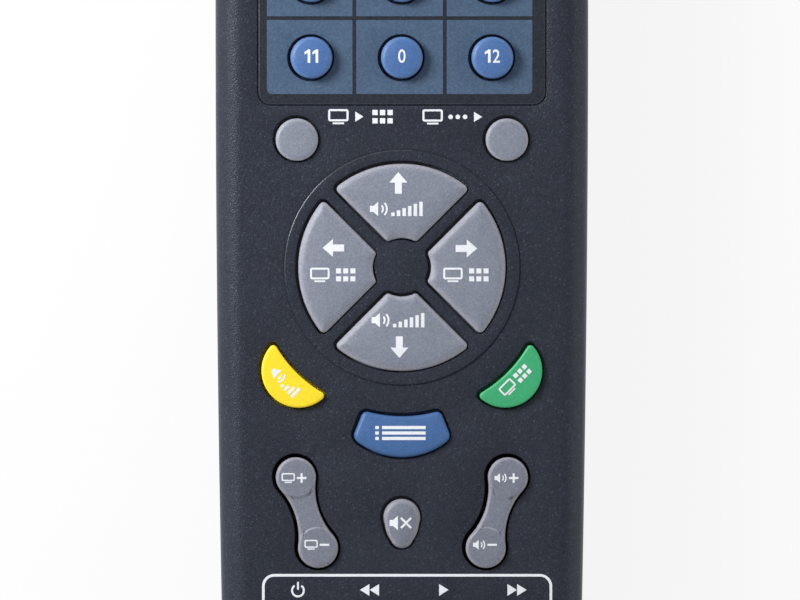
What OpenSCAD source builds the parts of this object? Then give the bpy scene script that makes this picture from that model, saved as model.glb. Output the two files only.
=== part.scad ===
// Universal remote control, lying on its back with the keys facing up.
// The origin is the middle of the back, on the surface it lies on.
// +X points to the right hand of someone reading the keys, +Y to the infrared end, +Z out of the keys.
// All sizes are millimetres and angles are degrees.

/* [Case] */
// Overall length of the case
body_l = 168; // [164:0.5:180]
// Width of the case at its widest section
body_w = 52; // [51:0.25:58]
// Height from the back to the top face
body_h = 22; // [21.5:0.25:26]
// Distance of the widest section from the middle, towards the infrared end
wide_y = 22.5; // [0:0.5:40]
// Radius of the gentle bow of each long side
side_r = 4100; // [2500:100:9000]
// Length of the rounded corners at the infrared end
lens_corner_l = 9; // [8:0.25:12]
// Width of the rounded corners at the infrared end
lens_corner_w = 14; // [10:0.25:15]
// Length of the rounded corners at the battery end
tail_corner_l = 11; // [9:0.25:13]
// Width of the rounded corners at the battery end
tail_corner_w = 18; // [12:0.25:19]
// Radius of the edge round the top face
top_edge_r = 3.5; // [3:0.1:5]
// Radius of the edge round the back
back_edge_r = 5; // [3.5:0.1:6.5]
// Lean of the side walls above the parting line
draft = 0.2; // [0:0.05:0.5]
// Thickness of the side walls
wall = 2; // [1.8:0.05:2.4]
// Smallest rounding of the edges inside the shells
inner_edge_min = 0.6; // [0.4:0.1:1]
// Thickness of the top plate
plate_t = 2; // [1.7:0.05:2.4]
// Thickness of the back
floor_t = 2; // [1.6:0.05:2.4]
// Height of the parting line between the two shells
split_z = 11; // [10:0.25:12]
// Depth of the groove along the parting line
seam = 0.3; // [0.1:0.05:0.5]
// Height of the locating lip inside the parting line
lip_h = 1.4; // [0.8:0.1:2]
// Thickness of the locating lip
lip_t = 0.9; // [0.7:0.05:1]
// Gap between the lip and the upper shell
lip_gap = 0.1; // [0.05:0.01:0.2]

/* [Keys] */
// Gap round each key in its hole
key_gap = 0.3; // [0.2:0.05:0.4]
// Travel of a pressed key
key_travel = 0.9; // [0.6:0.05:1]
// Height of the number keys above the top face
number_rise = 1.8; // [1:0.1:2.5]
// Height of the other keys above the top face
key_rise = 0.9; // [0.8:0.1:2.5]
// Rounding of the key edges
key_edge = 0.45; // [0.3:0.05:0.6]
// Reach of the flange that keeps a key under the plate
flange_w = 0.7; // [0.5:0.05:0.9]
// Thickness of that flange
flange_t = 0.8; // [0.6:0.05:1]
// Gap between a flange and the faces above and below it
flange_gap = 0.3; // [0.2:0.05:0.4]
// Radius of the contact foot under a key
foot_r = 1.6; // [1.2:0.05:1.9]
// Radius of the number keys
number_r = 2.9; // [2.6:0.05:3.4]
// Spacing of the number keys across the case
number_pitch_x = 12.58; // [11:0.1:13]
// Spacing of the rows of number keys along the case
number_pitch_y = 10.63; // [10.4:0.01:11]
// Step from the lower row of device keys down to the top row of number keys
number_drop = 11.81; // [11.4:0.01:13]
// Radius of the small round grey keys
round_r = 2.95; // [2.5:0.05:3.2]
// Sideways place of the two round keys above the ring of arrows
input_x = 14.6; // [13:0.1:15.5]
// Step from the lowest row of number keys down to those two keys
input_drop = 11.4; // [11.2:0.1:13]
// Radius of the main power key
power_r = 3.5; // [3:0.05:4]
// Radius of the set key
set_r = 2.3; // [2:0.05:3]
// Sideways place of the power and set keys
power_x = 14; // [12:0.1:15]
// Distance of the power and set keys from the infrared end
power_inset = 10.5; // [9.5:0.1:12]
// Step from the power key down to the upper row of device keys
device_drop = 8.5; // [8:0.1:10]
// Length of an oval device key
device_l = 7.4; // [6.5:0.1:8]
// Width of an oval device key
device_w = 3.8; // [3.4:0.1:4.2]
// Spacing of the device keys across the case
device_pitch_x = 13; // [12:0.1:13.5]
// Spacing of the two rows of device keys along the case
device_pitch_y = 6.8; // [6.4:0.1:7.6]
// Spacing of the tape keys across the case
tape_pitch_x = 10.1; // [9.5:0.1:10.5]
// Spacing of the two rows of tape keys along the case
tape_pitch_y = 7.8; // [7.6:0.1:9]
// Distance of the lower row of tape keys from the battery end
tape_inset = 11.7; // [11:0.1:14]
// Step from the rockers down to the upper row of tape keys
tape_drop = 15.75; // [14.5:0.05:17]

/* [Arrow keys] */
// Step from the two round keys down to the middle of the arrow keys
nav_drop = 17.75; // [17.5:0.05:19]
// Outer radius of the arrow keys
nav_r = 14.4; // [13.5:0.1:15]
// Radius of the bite at their inner ends
nav_hub_r = 4.05; // [3.5:0.05:4.6]
// Width of the bars between the arrow keys
nav_bar = 2.16; // [2.05:0.05:3]
// Rounding of the corners of the shaped keys
nav_corner_r = 0.75; // [0.5:0.05:0.9]
// Rounding of the two corners of an arrow key beside the bite
nav_bite_r = 0.3; // [0.2:0.05:0.5]
// Radius of the raised disc round the arrow keys
disc_r = 16.4; // [16:0.1:17.2]
// Height of the raised disc
disc_h = 0.25; // [0.15:0.05:0.4]
// Distance of the crescent keys from the middle of the arrow keys
crescent_d = 20.3; // [20.1:0.1:21]
// Radius of the outer edge of the crescent keys
crescent_r = 5.16; // [4.8:0.02:5.4]
// Radius of the hollow edge that faces the arrow keys
hollow_r = 18.2; // [17.9:0.1:18.6]
// Offset of the centre of that hollow edge
hollow_d = 2.5; // [2.3:0.05:2.7]
// Half width of the menu key at its upper corners
menu_top_w = 5.35; // [4.8:0.05:5.8]
// Half width of the menu key at its lower corners
menu_w = 6.9; // [6.4:0.05:7.2]
// Height of the slanted sides of the menu key
menu_side_h = 3.9; // [3.5:0.05:4.3]
// Radius of the bulging lower edge of the menu key
menu_r = 10.1; // [9.5:0.1:11]
// Depth of the menu key along its middle
menu_depth = 5.7; // [5:0.05:5.8]

/* [Rockers] */
// Sideways place of the middle of each rocker
rocker_x = 13.2; // [12.5:0.1:14]
// Step from the middle of the arrow keys down to the middle of each rocker
rocker_step = 34.1; // [33:0.05:36]
// Half the distance between the round ends of a rocker
rocker_reach = 5.15; // [4.8:0.05:5.5]
// Radius of the round ends
rocker_r = 2.78; // [2.4:0.02:3]
// Half width of the waist
rocker_waist = 1.67; // [1.4:0.02:1.9]
// Lean of a rocker from the length of the case
rocker_lean = 17.4; // [10:0.1:20]
// Gap round a rocker in its hole
rocker_gap = 0.4; // [0.35:0.05:0.5]
// Largest tilt of a rocker either way
rocker_tilt = 5; // [3:0.5:5]
// Radius of the pivot lugs of a rocker
lug_r = 0.5; // [0.4:0.05:0.6]
// Reach of a pivot lug beyond the waist
lug_l = 1.1; // [0.9:0.05:1.3]
// Clearance between a lug and the underside of its rocker
lug_clear = 0.1; // [0.05:0.05:0.2]
// Gap between a lug and the saddle under it
saddle_gap = 0.05; // [0.02:0.01:0.1]
// Radius of the contact feet under a rocker
rocker_foot_r = 1.5; // [1.2:0.05:1.8]
// Drop of the wide end of the mute key below the middle of the rockers
mute_drop = 0.65; // [0:0.05:1.2]
// Radius of the wide end of the mute key
mute_r = 2.56; // [2.3:0.02:2.8]
// Radius of the narrow end of the mute key
mute_tip_r = 1.6; // [1:0.02:2]
// Distance between the two ends of the mute key
mute_l = 2.7; // [2.4:0.05:3.4]
// How far the flanks of the mute key bow out half way down
mute_swell = 0.17; // [0:0.01:0.3]

/* [Number panel] */
// Width of the printed number panel
panel_w = 40; // [38.5:0.1:41]
// Margin of the panel beyond the number keys' centres, along the case
panel_margin = 6.55; // [6:0.05:6.6]
// Thickness of the panel
panel_t = 0.5; // [0.3:0.05:0.6]
// Depth of the panel's face below the top face
panel_sink = 0.1; // [0.05:0.05:0.2]
// Corner radius of the panel
panel_corner_r = 1.75; // [1:0.05:2.5]
// Gap between the panel and its recess
panel_gap = 0.1; // [0.05:0.01:0.2]

/* [Inside] */
// Thickness of the rubber keypad mat
mat_t = 1; // [0.8:0.05:1.2]
// Thickness of the circuit board
board_t = 1.6; // [1.2:0.1:1.6]
// Gap between the board and the side walls
board_gap = 0.8; // [0.5:0.05:1.2]
// Gap round the feet and posts that pass through the mat
mat_gap = 0.5; // [0.3:0.05:0.6]
// Gap between a pressed foot and the board
foot_gap = 0.1; // [0.05:0.05:0.2]
// Distance between the ends of the board and the end walls
board_end_gap = 3.5; // [3:0.1:5]
// Radius of the posts that hold the board
post_r = 1.2; // [1:0.05:1.4]
// Sideways place of the posts
post_x = 19; // [18.5:0.1:19.2]
// Width of the infrared window
window_w = 21; // [18:0.5:22]
// Height of the infrared window
window_h = 8.4; // [7:0.1:8.6]
// Height of the middle of the infrared window
window_z = 12.2; // [12:0.1:12.4]
// Depth of the window's face behind the end of the case
window_sink = 0.4; // [0.2:0.05:0.6]
// Rim of the window behind the wall
window_rim = 0.8; // [0.6:0.05:0.8]
// Gap round the window
window_gap = 0.1; // [0.05:0.01:0.2]
// Radius of the infrared diode
ir_r = 2.5; // [2:0.1:2.5]
// Length of the infrared diode
ir_l = 8.6; // [7:0.1:8.6]
// Reach of the infrared diode's flange
ir_flange = 0.4; // [0.3:0.05:0.5]
// Thickness of the infrared diode's flange
ir_flange_t = 1; // [0.8:0.1:1.2]
// Clearance of the infrared diode from the board above it
ir_clear = 0.2; // [0.2:0.05:0.4]
// Clearance of the infrared diode from the window in front of it
ir_front = 1; // [0.5:0.1:1.5]
// Width of the infrared diode's square legs
ir_leg = 0.5; // [0.4:0.05:0.6]
// Sideways place of those legs
ir_leg_x = 1.27; // [1:0.01:1.5]
// Reach of those legs behind the diode
ir_leg_l = 3; // [2:0.1:4]
// Radius of the indicator diode
led_r = 1.5; // [1.2:0.05:1.6]
// Distance of the indicator diode from the infrared end
led_inset = 10; // [9:0.1:11]
// Height of the indicator diode's dome above the top face
led_proud = 0.4; // [0.2:0.05:0.6]
// Gap round the indicator diode in the plate
led_gap = 0.15; // [0.1:0.05:0.2]
// Reach of the indicator diode's flange
led_flange_w = 0.4; // [0.3:0.05:0.5]
// Thickness of the indicator diode's flange
led_flange_h = 1; // [0.8:0.1:1.2]

/* [Electronics] */
// Width of the control chip's body
chip_w = 7.6; // [5:0.1:7.6]
// Length of the control chip's body
chip_l = 18; // [17.8:0.1:20]
// Height of the control chip's body
chip_h = 2.2; // [1.8:0.1:2.6]
// Legs along each side of the control chip
chip_legs = 14; // [10:1:14]
// Spacing of those legs
chip_pitch = 1.27; // [1:0.01:1.27]
// Width of a chip leg
chip_leg_w = 0.42; // [0.3:0.02:0.5]
// Reach of a chip leg
chip_leg_l = 1.3; // [1:0.1:1.6]
// Thickness of a chip leg
chip_leg_t = 0.3; // [0.2:0.05:0.4]
// Sideways place of the resonator, on the left
resonator_x = 12; // [10:0.5:13]
// Width of the resonator
resonator_w = 7; // [6:0.1:8]
// Thickness of the resonator
resonator_t = 3; // [2.5:0.1:3.5]
// Height of the resonator
resonator_h = 5; // [4:0.1:6]
// Diameter of the resonator's legs and height of its body off the board
resonator_leg = 0.6; // [0.5:0.05:0.7]
// Sideways place of the capacitor, on the right
capacitor_x = 12; // [10:0.5:13]
// Radius of the capacitor's can
can_r = 2.5; // [2:0.1:3]
// Height of the capacitor's can
can_h = 8; // [6:0.1:8]
// Height of the can off the board
can_stand = 0.6; // [0.4:0.05:0.8]
// Radius of the capacitor's legs
can_leg_r = 0.3; // [0.25:0.01:0.35]
// Sideways place of those legs
can_leg_x = 1; // [0.8:0.05:1.2]
// Sideways place of the inner chip components
part_x = 9; // [8.5:0.1:10]
// Spacing of the chip components across the case
part_pitch_x = 6; // [5:0.1:6.5]
// Spacing of the two rows of chip components along the case
part_pitch_y = 5; // [4:0.1:6]
// Length of a chip component
part_l = 3.2; // [2:0.1:3.2]
// Width of a chip component
part_w = 1.6; // [1.2:0.1:1.6]
// Height of a chip component
part_h = 0.7; // [0.5:0.05:0.8]
// Radius of the transistor's round back
transistor_r = 2.4; // [2:0.1:2.6]
// Height of the transistor
transistor_h = 4.6; // [4:0.1:5]
// Distance of the transistor's flat face from its axis
transistor_flat = 1.2; // [1:0.1:1.4]

/* [Screws] */
// Sideways place of the case screws
screw_x = 20.4; // [20.2:0.05:20.6]
// Radius of a screw's shank
screw_r = 1.2; // [1:0.05:1.3]
// Radius of a screw's head
screw_head_r = 2.3; // [2:0.05:2.4]
// Height of a screw's head
screw_head_h = 1.6; // [1.2:0.1:2]
// Length of a screw's shank
screw_l = 11; // [9:0.5:12]
// Height of the seat of a screw's head
screw_seat_z = 5; // [4:0.25:6]
// Wall round a screw hole
boss_wall = 1.3; // [1.1:0.05:1.4]
// Width of the cross slot in a screw's head
cross_w = 0.6; // [0.5:0.05:0.8]
// Length of the cross slot
cross_l = 2.76; // [2.4:0.02:3.2]
// Gap round a screw's shank
screw_gap = 0.05; // [0.03:0.01:0.1]
// Gap round a screw's head and past its tip
seat_gap = 0.3; // [0.2:0.05:0.4]

/* [Batteries] */
// Diameter of a battery
cell_d = 10.5; // [10:0.05:10.5]
// Length of a battery with its contact button
cell_l = 44.5; // [43:0.1:44.5]
// Radius of the contact button
cell_button_r = 1.9; // [1.6:0.05:2]
// Height of the contact button
cell_button_h = 1.2; // [0.8:0.1:1.4]
// Gap beside and between the batteries
cell_gap = 0.4; // [0.3:0.05:0.6]
// Clearance between the bay's roof and the board above it
bay_clear = 0.65; // [0.4:0.05:0.65]
// Distance of the battery bay from the battery end
bay_inset = 12; // [10:0.25:14]
// Compressed length of a contact spring
spring_l = 4.6; // [4:0.1:5]
// Largest radius of a contact spring
spring_r = 3.4; // [3:0.05:3.8]
// Smallest radius of a contact spring
spring_tip_r = 2.3; // [2:0.05:2.6]
// Diameter of the spring wire
spring_wire = 0.6; // [0.5:0.05:0.7]
// Turns of a contact spring
spring_turns = 3.25; // [2.25:0.5:3.25]
// Thickness of the contact plates
contact_t = 0.4; // [0.3:0.05:0.5]
// Gap between the contacts and the batteries
contact_gap = 0.05; // [0.03:0.01:0.08]
// Margin of a contact plate inside the width of a battery
plate_inset = 0.5; // [0.3:0.05:0.8]
// Thickness of the bay's walls
bay_wall = 1; // [0.8:0.05:1.1]
// Width of the battery door
door_w = 28; // [26:0.25:29]
// Thickness of the battery door
door_t = 2; // [1.8:0.05:2.1]
// Depth of the door's face above the back
door_sink = 0.15; // [0.1:0.05:0.3]
// Reach of the door beyond the bay, towards the middle
door_lap = 3; // [2:0.25:4]
// Gap round the sliding door
door_gap = 0.15; // [0.1:0.01:0.2]
// Reach of the tongues along the door's sides
tongue_w = 1; // [0.8:0.05:1.2]
// Thickness of those tongues
tongue_t = 0.7; // [0.5:0.05:0.8]
// Width of a finger groove in the door
grip_w = 0.9; // [0.6:0.05:1.1]
// Spacing of the finger grooves
grip_pitch = 1.9; // [1.6:0.05:2.2]
// Number of finger grooves
grip_n = 7; // [3:1:9]

/* [Hidden] */
$fn = 64;
case_black = [0.14, 0.145, 0.165];
panel_black = [0.1, 0.105, 0.12];
key_grey = [0.52, 0.54, 0.6];
key_blue = [0.3, 0.45, 0.72];
menu_blue = [0.26, 0.39, 0.6];
key_yellow = [0.97, 0.88, 0.18];
key_green = [0.26, 0.7, 0.46];
key_red = [0.75, 0.12, 0.12];

// Levels, from the top plate down to the circuit board
plate_under = body_h - plate_t;
flange_top = plate_under - flange_gap;
flange_bottom = flange_top - flange_t;
mat_top = flange_bottom - key_travel - flange_gap;
board_top = mat_top - mat_t;
board_bottom = board_top - board_t;
foot_bottom = board_top + key_travel + foot_gap;
lug_z = flange_top - lug_r;
panel_floor = body_h - panel_sink - panel_t;
overlap = 0.5;
cut = 20;

// Levels, from the back up to the bay's ceiling; a thin case takes thinner batteries
door_in = door_sink + door_t;
pad_top = door_in + door_gap + bay_wall;
bay_room = board_bottom - bay_clear - bay_wall - door_in;
cell_fit_d = min(cell_d, bay_room - 2 * cell_gap);
cell_z = door_in + cell_gap + cell_fit_d / 2;
bay_ceiling = cell_z + cell_fit_d / 2 + cell_gap;
bay_w = 2 * cell_fit_d + 3 * cell_gap;
cell_x = (cell_fit_d + cell_gap) / 2;
bay_l = 2 * contact_t + spring_l + cell_l + 2 * contact_gap;
bay_end = -body_l / 2 + bay_inset;
bay_head = bay_end + bay_l;
door_end = bay_head + door_lap;

// Rows of keys, from the infrared end down: their steps share out the length of the case
number_n = 12;
number_columns = 3;
number_rows = number_n / number_columns;
device_n = 6;
device_columns = 3;
tape_columns = 4;
key_steps = power_inset + device_drop + device_pitch_y + number_drop + (number_rows - 1) * number_pitch_y;
stretch = body_l / (key_steps + input_drop + nav_drop + rocker_step + tape_drop + tape_pitch_y + tape_inset);
power_at = [power_x, body_l / 2 - stretch * power_inset];
function device_at(i) = [
    (i % device_columns - (device_columns - 1) / 2) * device_pitch_x,
    power_at.y - stretch * (device_drop + floor(i / device_columns) * device_pitch_y)
];
function number_at(i) = [
    (i % number_columns - (number_columns - 1) / 2) * number_pitch_x,
    device_at(device_n - 1).y - stretch * (number_drop + floor(i / number_columns) * number_pitch_y)
];
number_row_y = [for (i = [0:number_rows - 1]) number_at(i * number_columns).y];
input_at = [input_x, number_row_y[number_rows - 1] - stretch * input_drop];
nav_c = [0, input_at.y - stretch * nav_drop];
rocker_y = nav_c.y - stretch * rocker_step;
mute_at = [0, rocker_y - mute_drop];
tape_y = rocker_y - stretch * tape_drop;
tape_row = max(stretch * tape_pitch_y, 2 * (round_r + flange_w) + key_gap);
function tape_at(i) = [
    (i % tape_columns - (tape_columns - 1) / 2) * tape_pitch_x,
    tape_y - floor(i / tape_columns) * tape_row
];
panel_y0 = number_row_y[number_rows - 1] - panel_margin;
panel_y1 = number_row_y[0] + panel_margin;
led_at = [0, body_l / 2 - led_inset];
led_flange_r = led_r + led_flange_w;
nav_foot_d = (nav_r + nav_hub_r) / 2;
crescent_y = nav_c.y - crescent_d * sin(45);
crescent_foot_d = crescent_d + crescent_r / 2;
hollow_y = nav_c.y - hollow_d;
menu_top_y = hollow_y - hollow_r;
menu_foot_at = [0, menu_top_y - menu_depth / 2];
mute_foot_at = [0, mute_at.y - mute_l / 4];
rocker_dip = (rocker_reach + rocker_foot_r) * sin(rocker_tilt);
rocker_foot_bottom = board_top + rocker_dip + foot_gap;
rocker_bottom = lug_z - lug_r - lug_clear;
lug_reach = rocker_waist + lug_l;

// Posts, screws and electronics stand between the rows of keys
device_mid_y = (device_at(0).y + device_at(device_n - 1).y) / 2;
post_y = [
    (number_row_y[0] + number_row_y[1]) / 2,
    (number_row_y[number_rows - 1] + input_at.y) / 2,
    (crescent_y + rocker_y) / 2
];
post_at = [for (y = post_y, side = [-1, 1]) [side * post_x, y]];
screw_at = [for (y = [device_mid_y, (rocker_y + tape_y) / 2], side = [-1, 1]) [side * screw_x, y]];
chip_y = (number_row_y[number_rows - 2] + number_row_y[number_rows - 1]) / 2;
board_y0 = -body_l / 2 + wall + board_end_gap;
board_y1 = body_l / 2 - wall - board_end_gap;
window_back = body_l / 2 - wall - draft - window_gap;
boss_r = screw_r + boss_wall;
pillar_r = screw_head_r + seat_gap + boss_wall / 2;
pilot_top = screw_seat_z + screw_l + seat_gap;

tape_names = [
    "tape_power_key", "rewind_key", "play_key", "forward_key",
    "record_key", "stop_key", "pause_key", "eject_key"
];
nav_names = ["nav_right_key", "nav_up_key", "nav_left_key", "nav_down_key"];
number_names = [for (i = [1:number_n]) str("number_key_", i)];
device_names = [for (i = [1:device_n]) str("device_key_", i)];

// Outline of the case seen from above, anticlockwise from the battery end
corner_n = 10;
side_n = 8;
function half_w(y) = body_w / 2 - pow(y - wide_y, 2) / (2 * side_r);
function corner_point(end, length, width, a) =
    let (y = end * (body_l / 2 - length * (1 - sin(a)))) [half_w(y) - width * (1 - cos(a)), y];
tail_corner = [
    for (i = [0:corner_n]) corner_point(-1, tail_corner_l, tail_corner_w, 90 * (1 - i / corner_n))
];
lens_corner = [
    for (i = [0:corner_n]) corner_point(1, lens_corner_l, lens_corner_w, 90 * i / corner_n)
];
side_y0 = -body_l / 2 + tail_corner_l;
side_y1 = body_l / 2 - lens_corner_l;
long_side = [
    for (i = [1:side_n - 1]) let (y = side_y0 + (side_y1 - side_y0) * i / side_n) [half_w(y), y]
];
right_half = concat(tail_corner, long_side, lens_corner);
left_half = [for (i = [len(right_half) - 1:-1:0]) [-right_half[i].x, right_half[i].y]];
case_path = concat(right_half, left_half);

// A closed path moved inwards so that each of its edges shifts by d
function unit(v) = v / norm(v);
function inset_path(path, d) = [
    for (i = [0:len(path) - 1])
        let (
            n = len(path),
            u = unit(path[i] - path[(i + n - 1) % n]),
            v = unit(path[(i + 1) % n] - path[i]),
            m = unit(u + v)
        )
        path[i] + d / (m * u) * [-m.y, m.x]
];

// A closed solid through sections of the case, each an inset of its outline at a height
module loft(sections) {
    n = len(case_path);
    rings = len(sections);
    points = [for (s = sections) for (p = inset_path(case_path, s[0])) [p.x, p.y, s[1]]];
    walls = [
        for (k = [0:rings - 2], i = [0:n - 1])
            let (a = k * n + i, b = k * n + (i + 1) % n)
            each [[a, a + n, b], [b, a + n, b + n]]
    ];
    caps = [[for (i = [0:n - 1]) i], [for (i = [n - 1:-1:0]) (rings - 1) * n + i]];
    polyhedron(points = points, faces = concat(caps, walls), convexity = 6);
}

edge_n = 6;
function top_edge(inset, z, r) = [
    for (i = [0:edge_n]) let (a = 90 * i / edge_n) [inset + r * (1 - cos(a)), z - r * (1 - sin(a))]
];
function back_edge(inset, z, r) = [
    for (i = [0:edge_n]) let (a = 90 * i / edge_n) [inset + r * (1 - sin(a)), z + r * (1 - cos(a))]
];
upper_outer = concat([[seam, split_z], [0, split_z + seam]], top_edge(draft, body_h, top_edge_r));
upper_inner = concat(
    [[wall, split_z - overlap]],
    top_edge(draft + wall, plate_under, max(top_edge_r - wall, inner_edge_min))
);
lower_outer = concat(back_edge(0, 0, back_edge_r), [[0, split_z - seam], [seam, split_z]]);
lower_inner = concat(
    back_edge(wall, floor_t, max(back_edge_r - wall, inner_edge_min)),
    [[wall, split_z + overlap]]
);

module case_band(outer, inner) {
    difference() {
        polygon(inset_path(case_path, outer));
        polygon(inset_path(case_path, inner));
    }
}

// A box from one corner to the opposite one
module block(low, high) {
    translate(low) cube(high - low);
}

module rounded(r) {
    offset(r = r, $fn = 24) offset(delta = -r) children();
}

module panel_outline(grow) {
    w = panel_w - 2 * panel_corner_r;
    l = panel_y1 - panel_y0 - 2 * panel_corner_r;
    translate([0, (panel_y0 + panel_y1) / 2])
        offset(r = panel_corner_r + grow, $fn = 40) square([w, l], center = true);
}

// Key outlines, drawn where they sit
module nav_outline(turn) {
    translate(nav_c) rotate(turn - 90) rounded(nav_bite_r) difference() {
        rounded(nav_corner_r) intersection() {
            circle(nav_r, $fn = 72);
            rotate(45) translate([nav_bar, nav_bar] / 2) square(2 * nav_r);
        }
        circle(nav_hub_r, $fn = 28);
    }
}

module crescent_outline(turn) {
    translate(nav_c) rotate(turn) rounded(nav_corner_r) difference() {
        translate([crescent_d, 0]) circle(crescent_r, $fn = 40);
        translate([hollow_d, 0]) circle(hollow_r, $fn = 96);
    }
}

module menu_outline() {
    side_top_y = hollow_y - sqrt(pow(hollow_r, 2) - pow(menu_top_w, 2));
    rounded(nav_corner_r) difference() {
        intersection() {
            polygon([
                [menu_top_w, side_top_y], [-menu_top_w, side_top_y],
                [-menu_w, side_top_y - menu_side_h], [-menu_w, menu_top_y - 2 * menu_depth],
                [menu_w, menu_top_y - 2 * menu_depth], [menu_w, side_top_y - menu_side_h]
            ]);
            translate([0, menu_top_y - menu_depth + menu_r]) circle(menu_r, $fn = 64);
        }
        translate([0, hollow_y]) circle(hollow_r, $fn = 96);
    }
}

module mute_outline() {
    hull() {
        translate(mute_at) circle(mute_r, $fn = 32);
        translate([0, mute_at.y - mute_l / 2]) circle((mute_r + mute_tip_r) / 2 + mute_swell, $fn = 32);
        translate([0, mute_at.y - mute_l]) circle(mute_tip_r, $fn = 24);
    }
}

module device_outline(i) {
    reach = (device_l - device_w) / 2;
    translate(device_at(i)) {
        square([2 * reach, device_w], center = true);
        for (x = [-reach, reach]) translate([x, 0]) circle(device_w / 2, $fn = 24);
    }
}

// Dumb-bell outline: two round ends, with a waist hollowed by circles that touch both of them
module rocker_outline(side) {
    waist_r = (pow(rocker_reach, 2) + pow(rocker_waist, 2) - pow(rocker_r, 2))
        / (2 * (rocker_r - rocker_waist));
    touch = rocker_r / (rocker_r + waist_r);
    touch_x = touch * (rocker_waist + waist_r);
    touch_y = rocker_reach * (1 - touch);
    rocker_frame(side) {
        for (y = [-rocker_reach, rocker_reach]) translate([0, y]) circle(rocker_r, $fn = 24);
        difference() {
            square([2 * touch_x, 2 * touch_y], center = true);
            for (x = [-1, 1]) translate([x * (rocker_waist + waist_r), 0]) circle(waist_r, $fn = 56);
        }
    }
}

// Places a rocker: side is -1 for the left one and 1 for the right one
module rocker_frame(side) {
    translate([side * rocker_x, rocker_y]) rotate(-side * rocker_lean) children();
}

// Keys
module round_key(at, r, top) {
    flange_mid = flange_bottom + flange_t / 2;
    translate([at.x, at.y, 0]) {
        translate([0, 0, flange_bottom]) cylinder(r = r + flange_w, h = flange_t);
        translate([0, 0, foot_bottom]) cylinder(r = foot_r, h = flange_mid - foot_bottom);
        translate([0, 0, flange_mid]) rotate_extrude() round_key_profile(r, top - flange_mid);
    }
}

module round_key_profile(r, h) {
    square([r, h - key_edge]);
    square([r - key_edge, h]);
    translate([r - key_edge, h - key_edge]) intersection() {
        circle(key_edge);
        square(key_edge);
    }
}

// A key of any outline, with rounded edges, a flange and one contact foot
module shaped_key(foot, top) {
    flange_mid = flange_bottom + flange_t / 2;
    key_cap(flange_bottom + flange_t / 4, top) children();
    translate([0, 0, flange_bottom]) linear_extrude(flange_t) offset(r = flange_w, $fn = 24) children();
    translate([foot.x, foot.y, foot_bottom]) cylinder(r = foot_r, h = flange_mid - foot_bottom);
}

module key_cap(bottom, top) {
    translate([0, 0, bottom + key_edge]) minkowski() {
        linear_extrude(top - bottom - 2 * key_edge) offset(delta = -key_edge) children();
        sphere(key_edge, $fn = 14);
    }
}

module key_hole(gap) {
    translate([0, 0, plate_under - overlap]) linear_extrude(cut) offset(r = gap, $fn = 24) children();
}

module round_hole(at, r) {
    translate([at.x, at.y, plate_under - overlap]) cylinder(r = r + key_gap, h = cut);
}

module number_key(i) {
    color(key_blue) round_key(number_at(i), number_r, body_h + number_rise);
}

module device_key(i) {
    color(key_grey) shaped_key(device_at(i), body_h + key_rise) device_outline(i);
}

module tape_key(i) {
    color(key_grey) round_key(tape_at(i), round_r, body_h + key_rise);
}

module input_key(side) {
    color(key_grey) round_key([side * input_at.x, input_at.y], round_r, body_h + key_rise);
}

module main_power_key() {
    color(key_red) round_key(power_at, power_r, body_h + key_rise);
}

module set_key() {
    color(key_grey) round_key([-power_at.x, power_at.y], set_r, body_h + key_rise);
}

module nav_key(turn) {
    foot = nav_c + nav_foot_d * [cos(turn), sin(turn)];
    color(key_grey) shaped_key(foot, body_h + disc_h + key_rise) nav_outline(turn);
}

module crescent_key(turn, tint) {
    foot = nav_c + crescent_foot_d * [cos(turn), sin(turn)];
    color(tint) shaped_key(foot, body_h + key_rise) crescent_outline(turn);
}

module menu_key() {
    color(menu_blue) shaped_key(menu_foot_at, body_h + key_rise) menu_outline();
}

module mute_key() {
    color(key_grey) shaped_key(mute_foot_at, body_h + key_rise) mute_outline();
}

// A rocker tips on two lugs under the plate and has a contact foot under each end
module rocker(side) {
    color(key_grey) {
        difference() {
            key_cap(rocker_bottom - 2 * key_edge, body_h + key_rise) rocker_outline(side);
            block([-body_w, -body_l, rocker_bottom - cut], [body_w, body_l, rocker_bottom]);
        }
        translate([0, 0, lug_z]) rocker_frame(side) {
            rotate([0, 90, 0]) cylinder(r = lug_r, h = 2 * lug_reach, center = true);
            for (y = [-rocker_reach, rocker_reach])
                translate([0, y, rocker_foot_bottom - lug_z])
                    cylinder(r = rocker_foot_r, h = rocker_bottom - rocker_foot_bottom + overlap);
        }
    }
}

// Shells
module upper_case() {
    color(case_black) difference() {
        union() {
            difference() {
                loft(upper_outer);
                loft(upper_inner);
            }
            translate([nav_c.x, nav_c.y, body_h - overlap])
                cylinder(r1 = disc_r, r2 = disc_r - disc_h, h = overlap + disc_h);
            for (p = screw_at)
                translate([p.x, p.y, split_z]) cylinder(r = boss_r, h = plate_under + overlap - split_z);
            for (p = post_at)
                translate([p.x, p.y, mat_top]) cylinder(r = post_r, h = plate_under + overlap - mat_top);
        }
        all_key_holes();
        translate([0, 0, panel_floor]) linear_extrude(cut) panel_outline(panel_gap);
        translate([led_at.x, led_at.y, plate_under - overlap]) cylinder(r = led_r + led_gap, h = cut);
        for (p = screw_at)
            translate([p.x, p.y, split_z - overlap])
                cylinder(r = screw_r + screw_gap, h = pilot_top - split_z + overlap);
        translate([0, 0, split_z - overlap]) linear_extrude(overlap + lip_h + lip_gap)
            case_band(wall - lip_t - 2 * lip_gap, wall + lip_gap);
        window_cut();
    }
}

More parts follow.
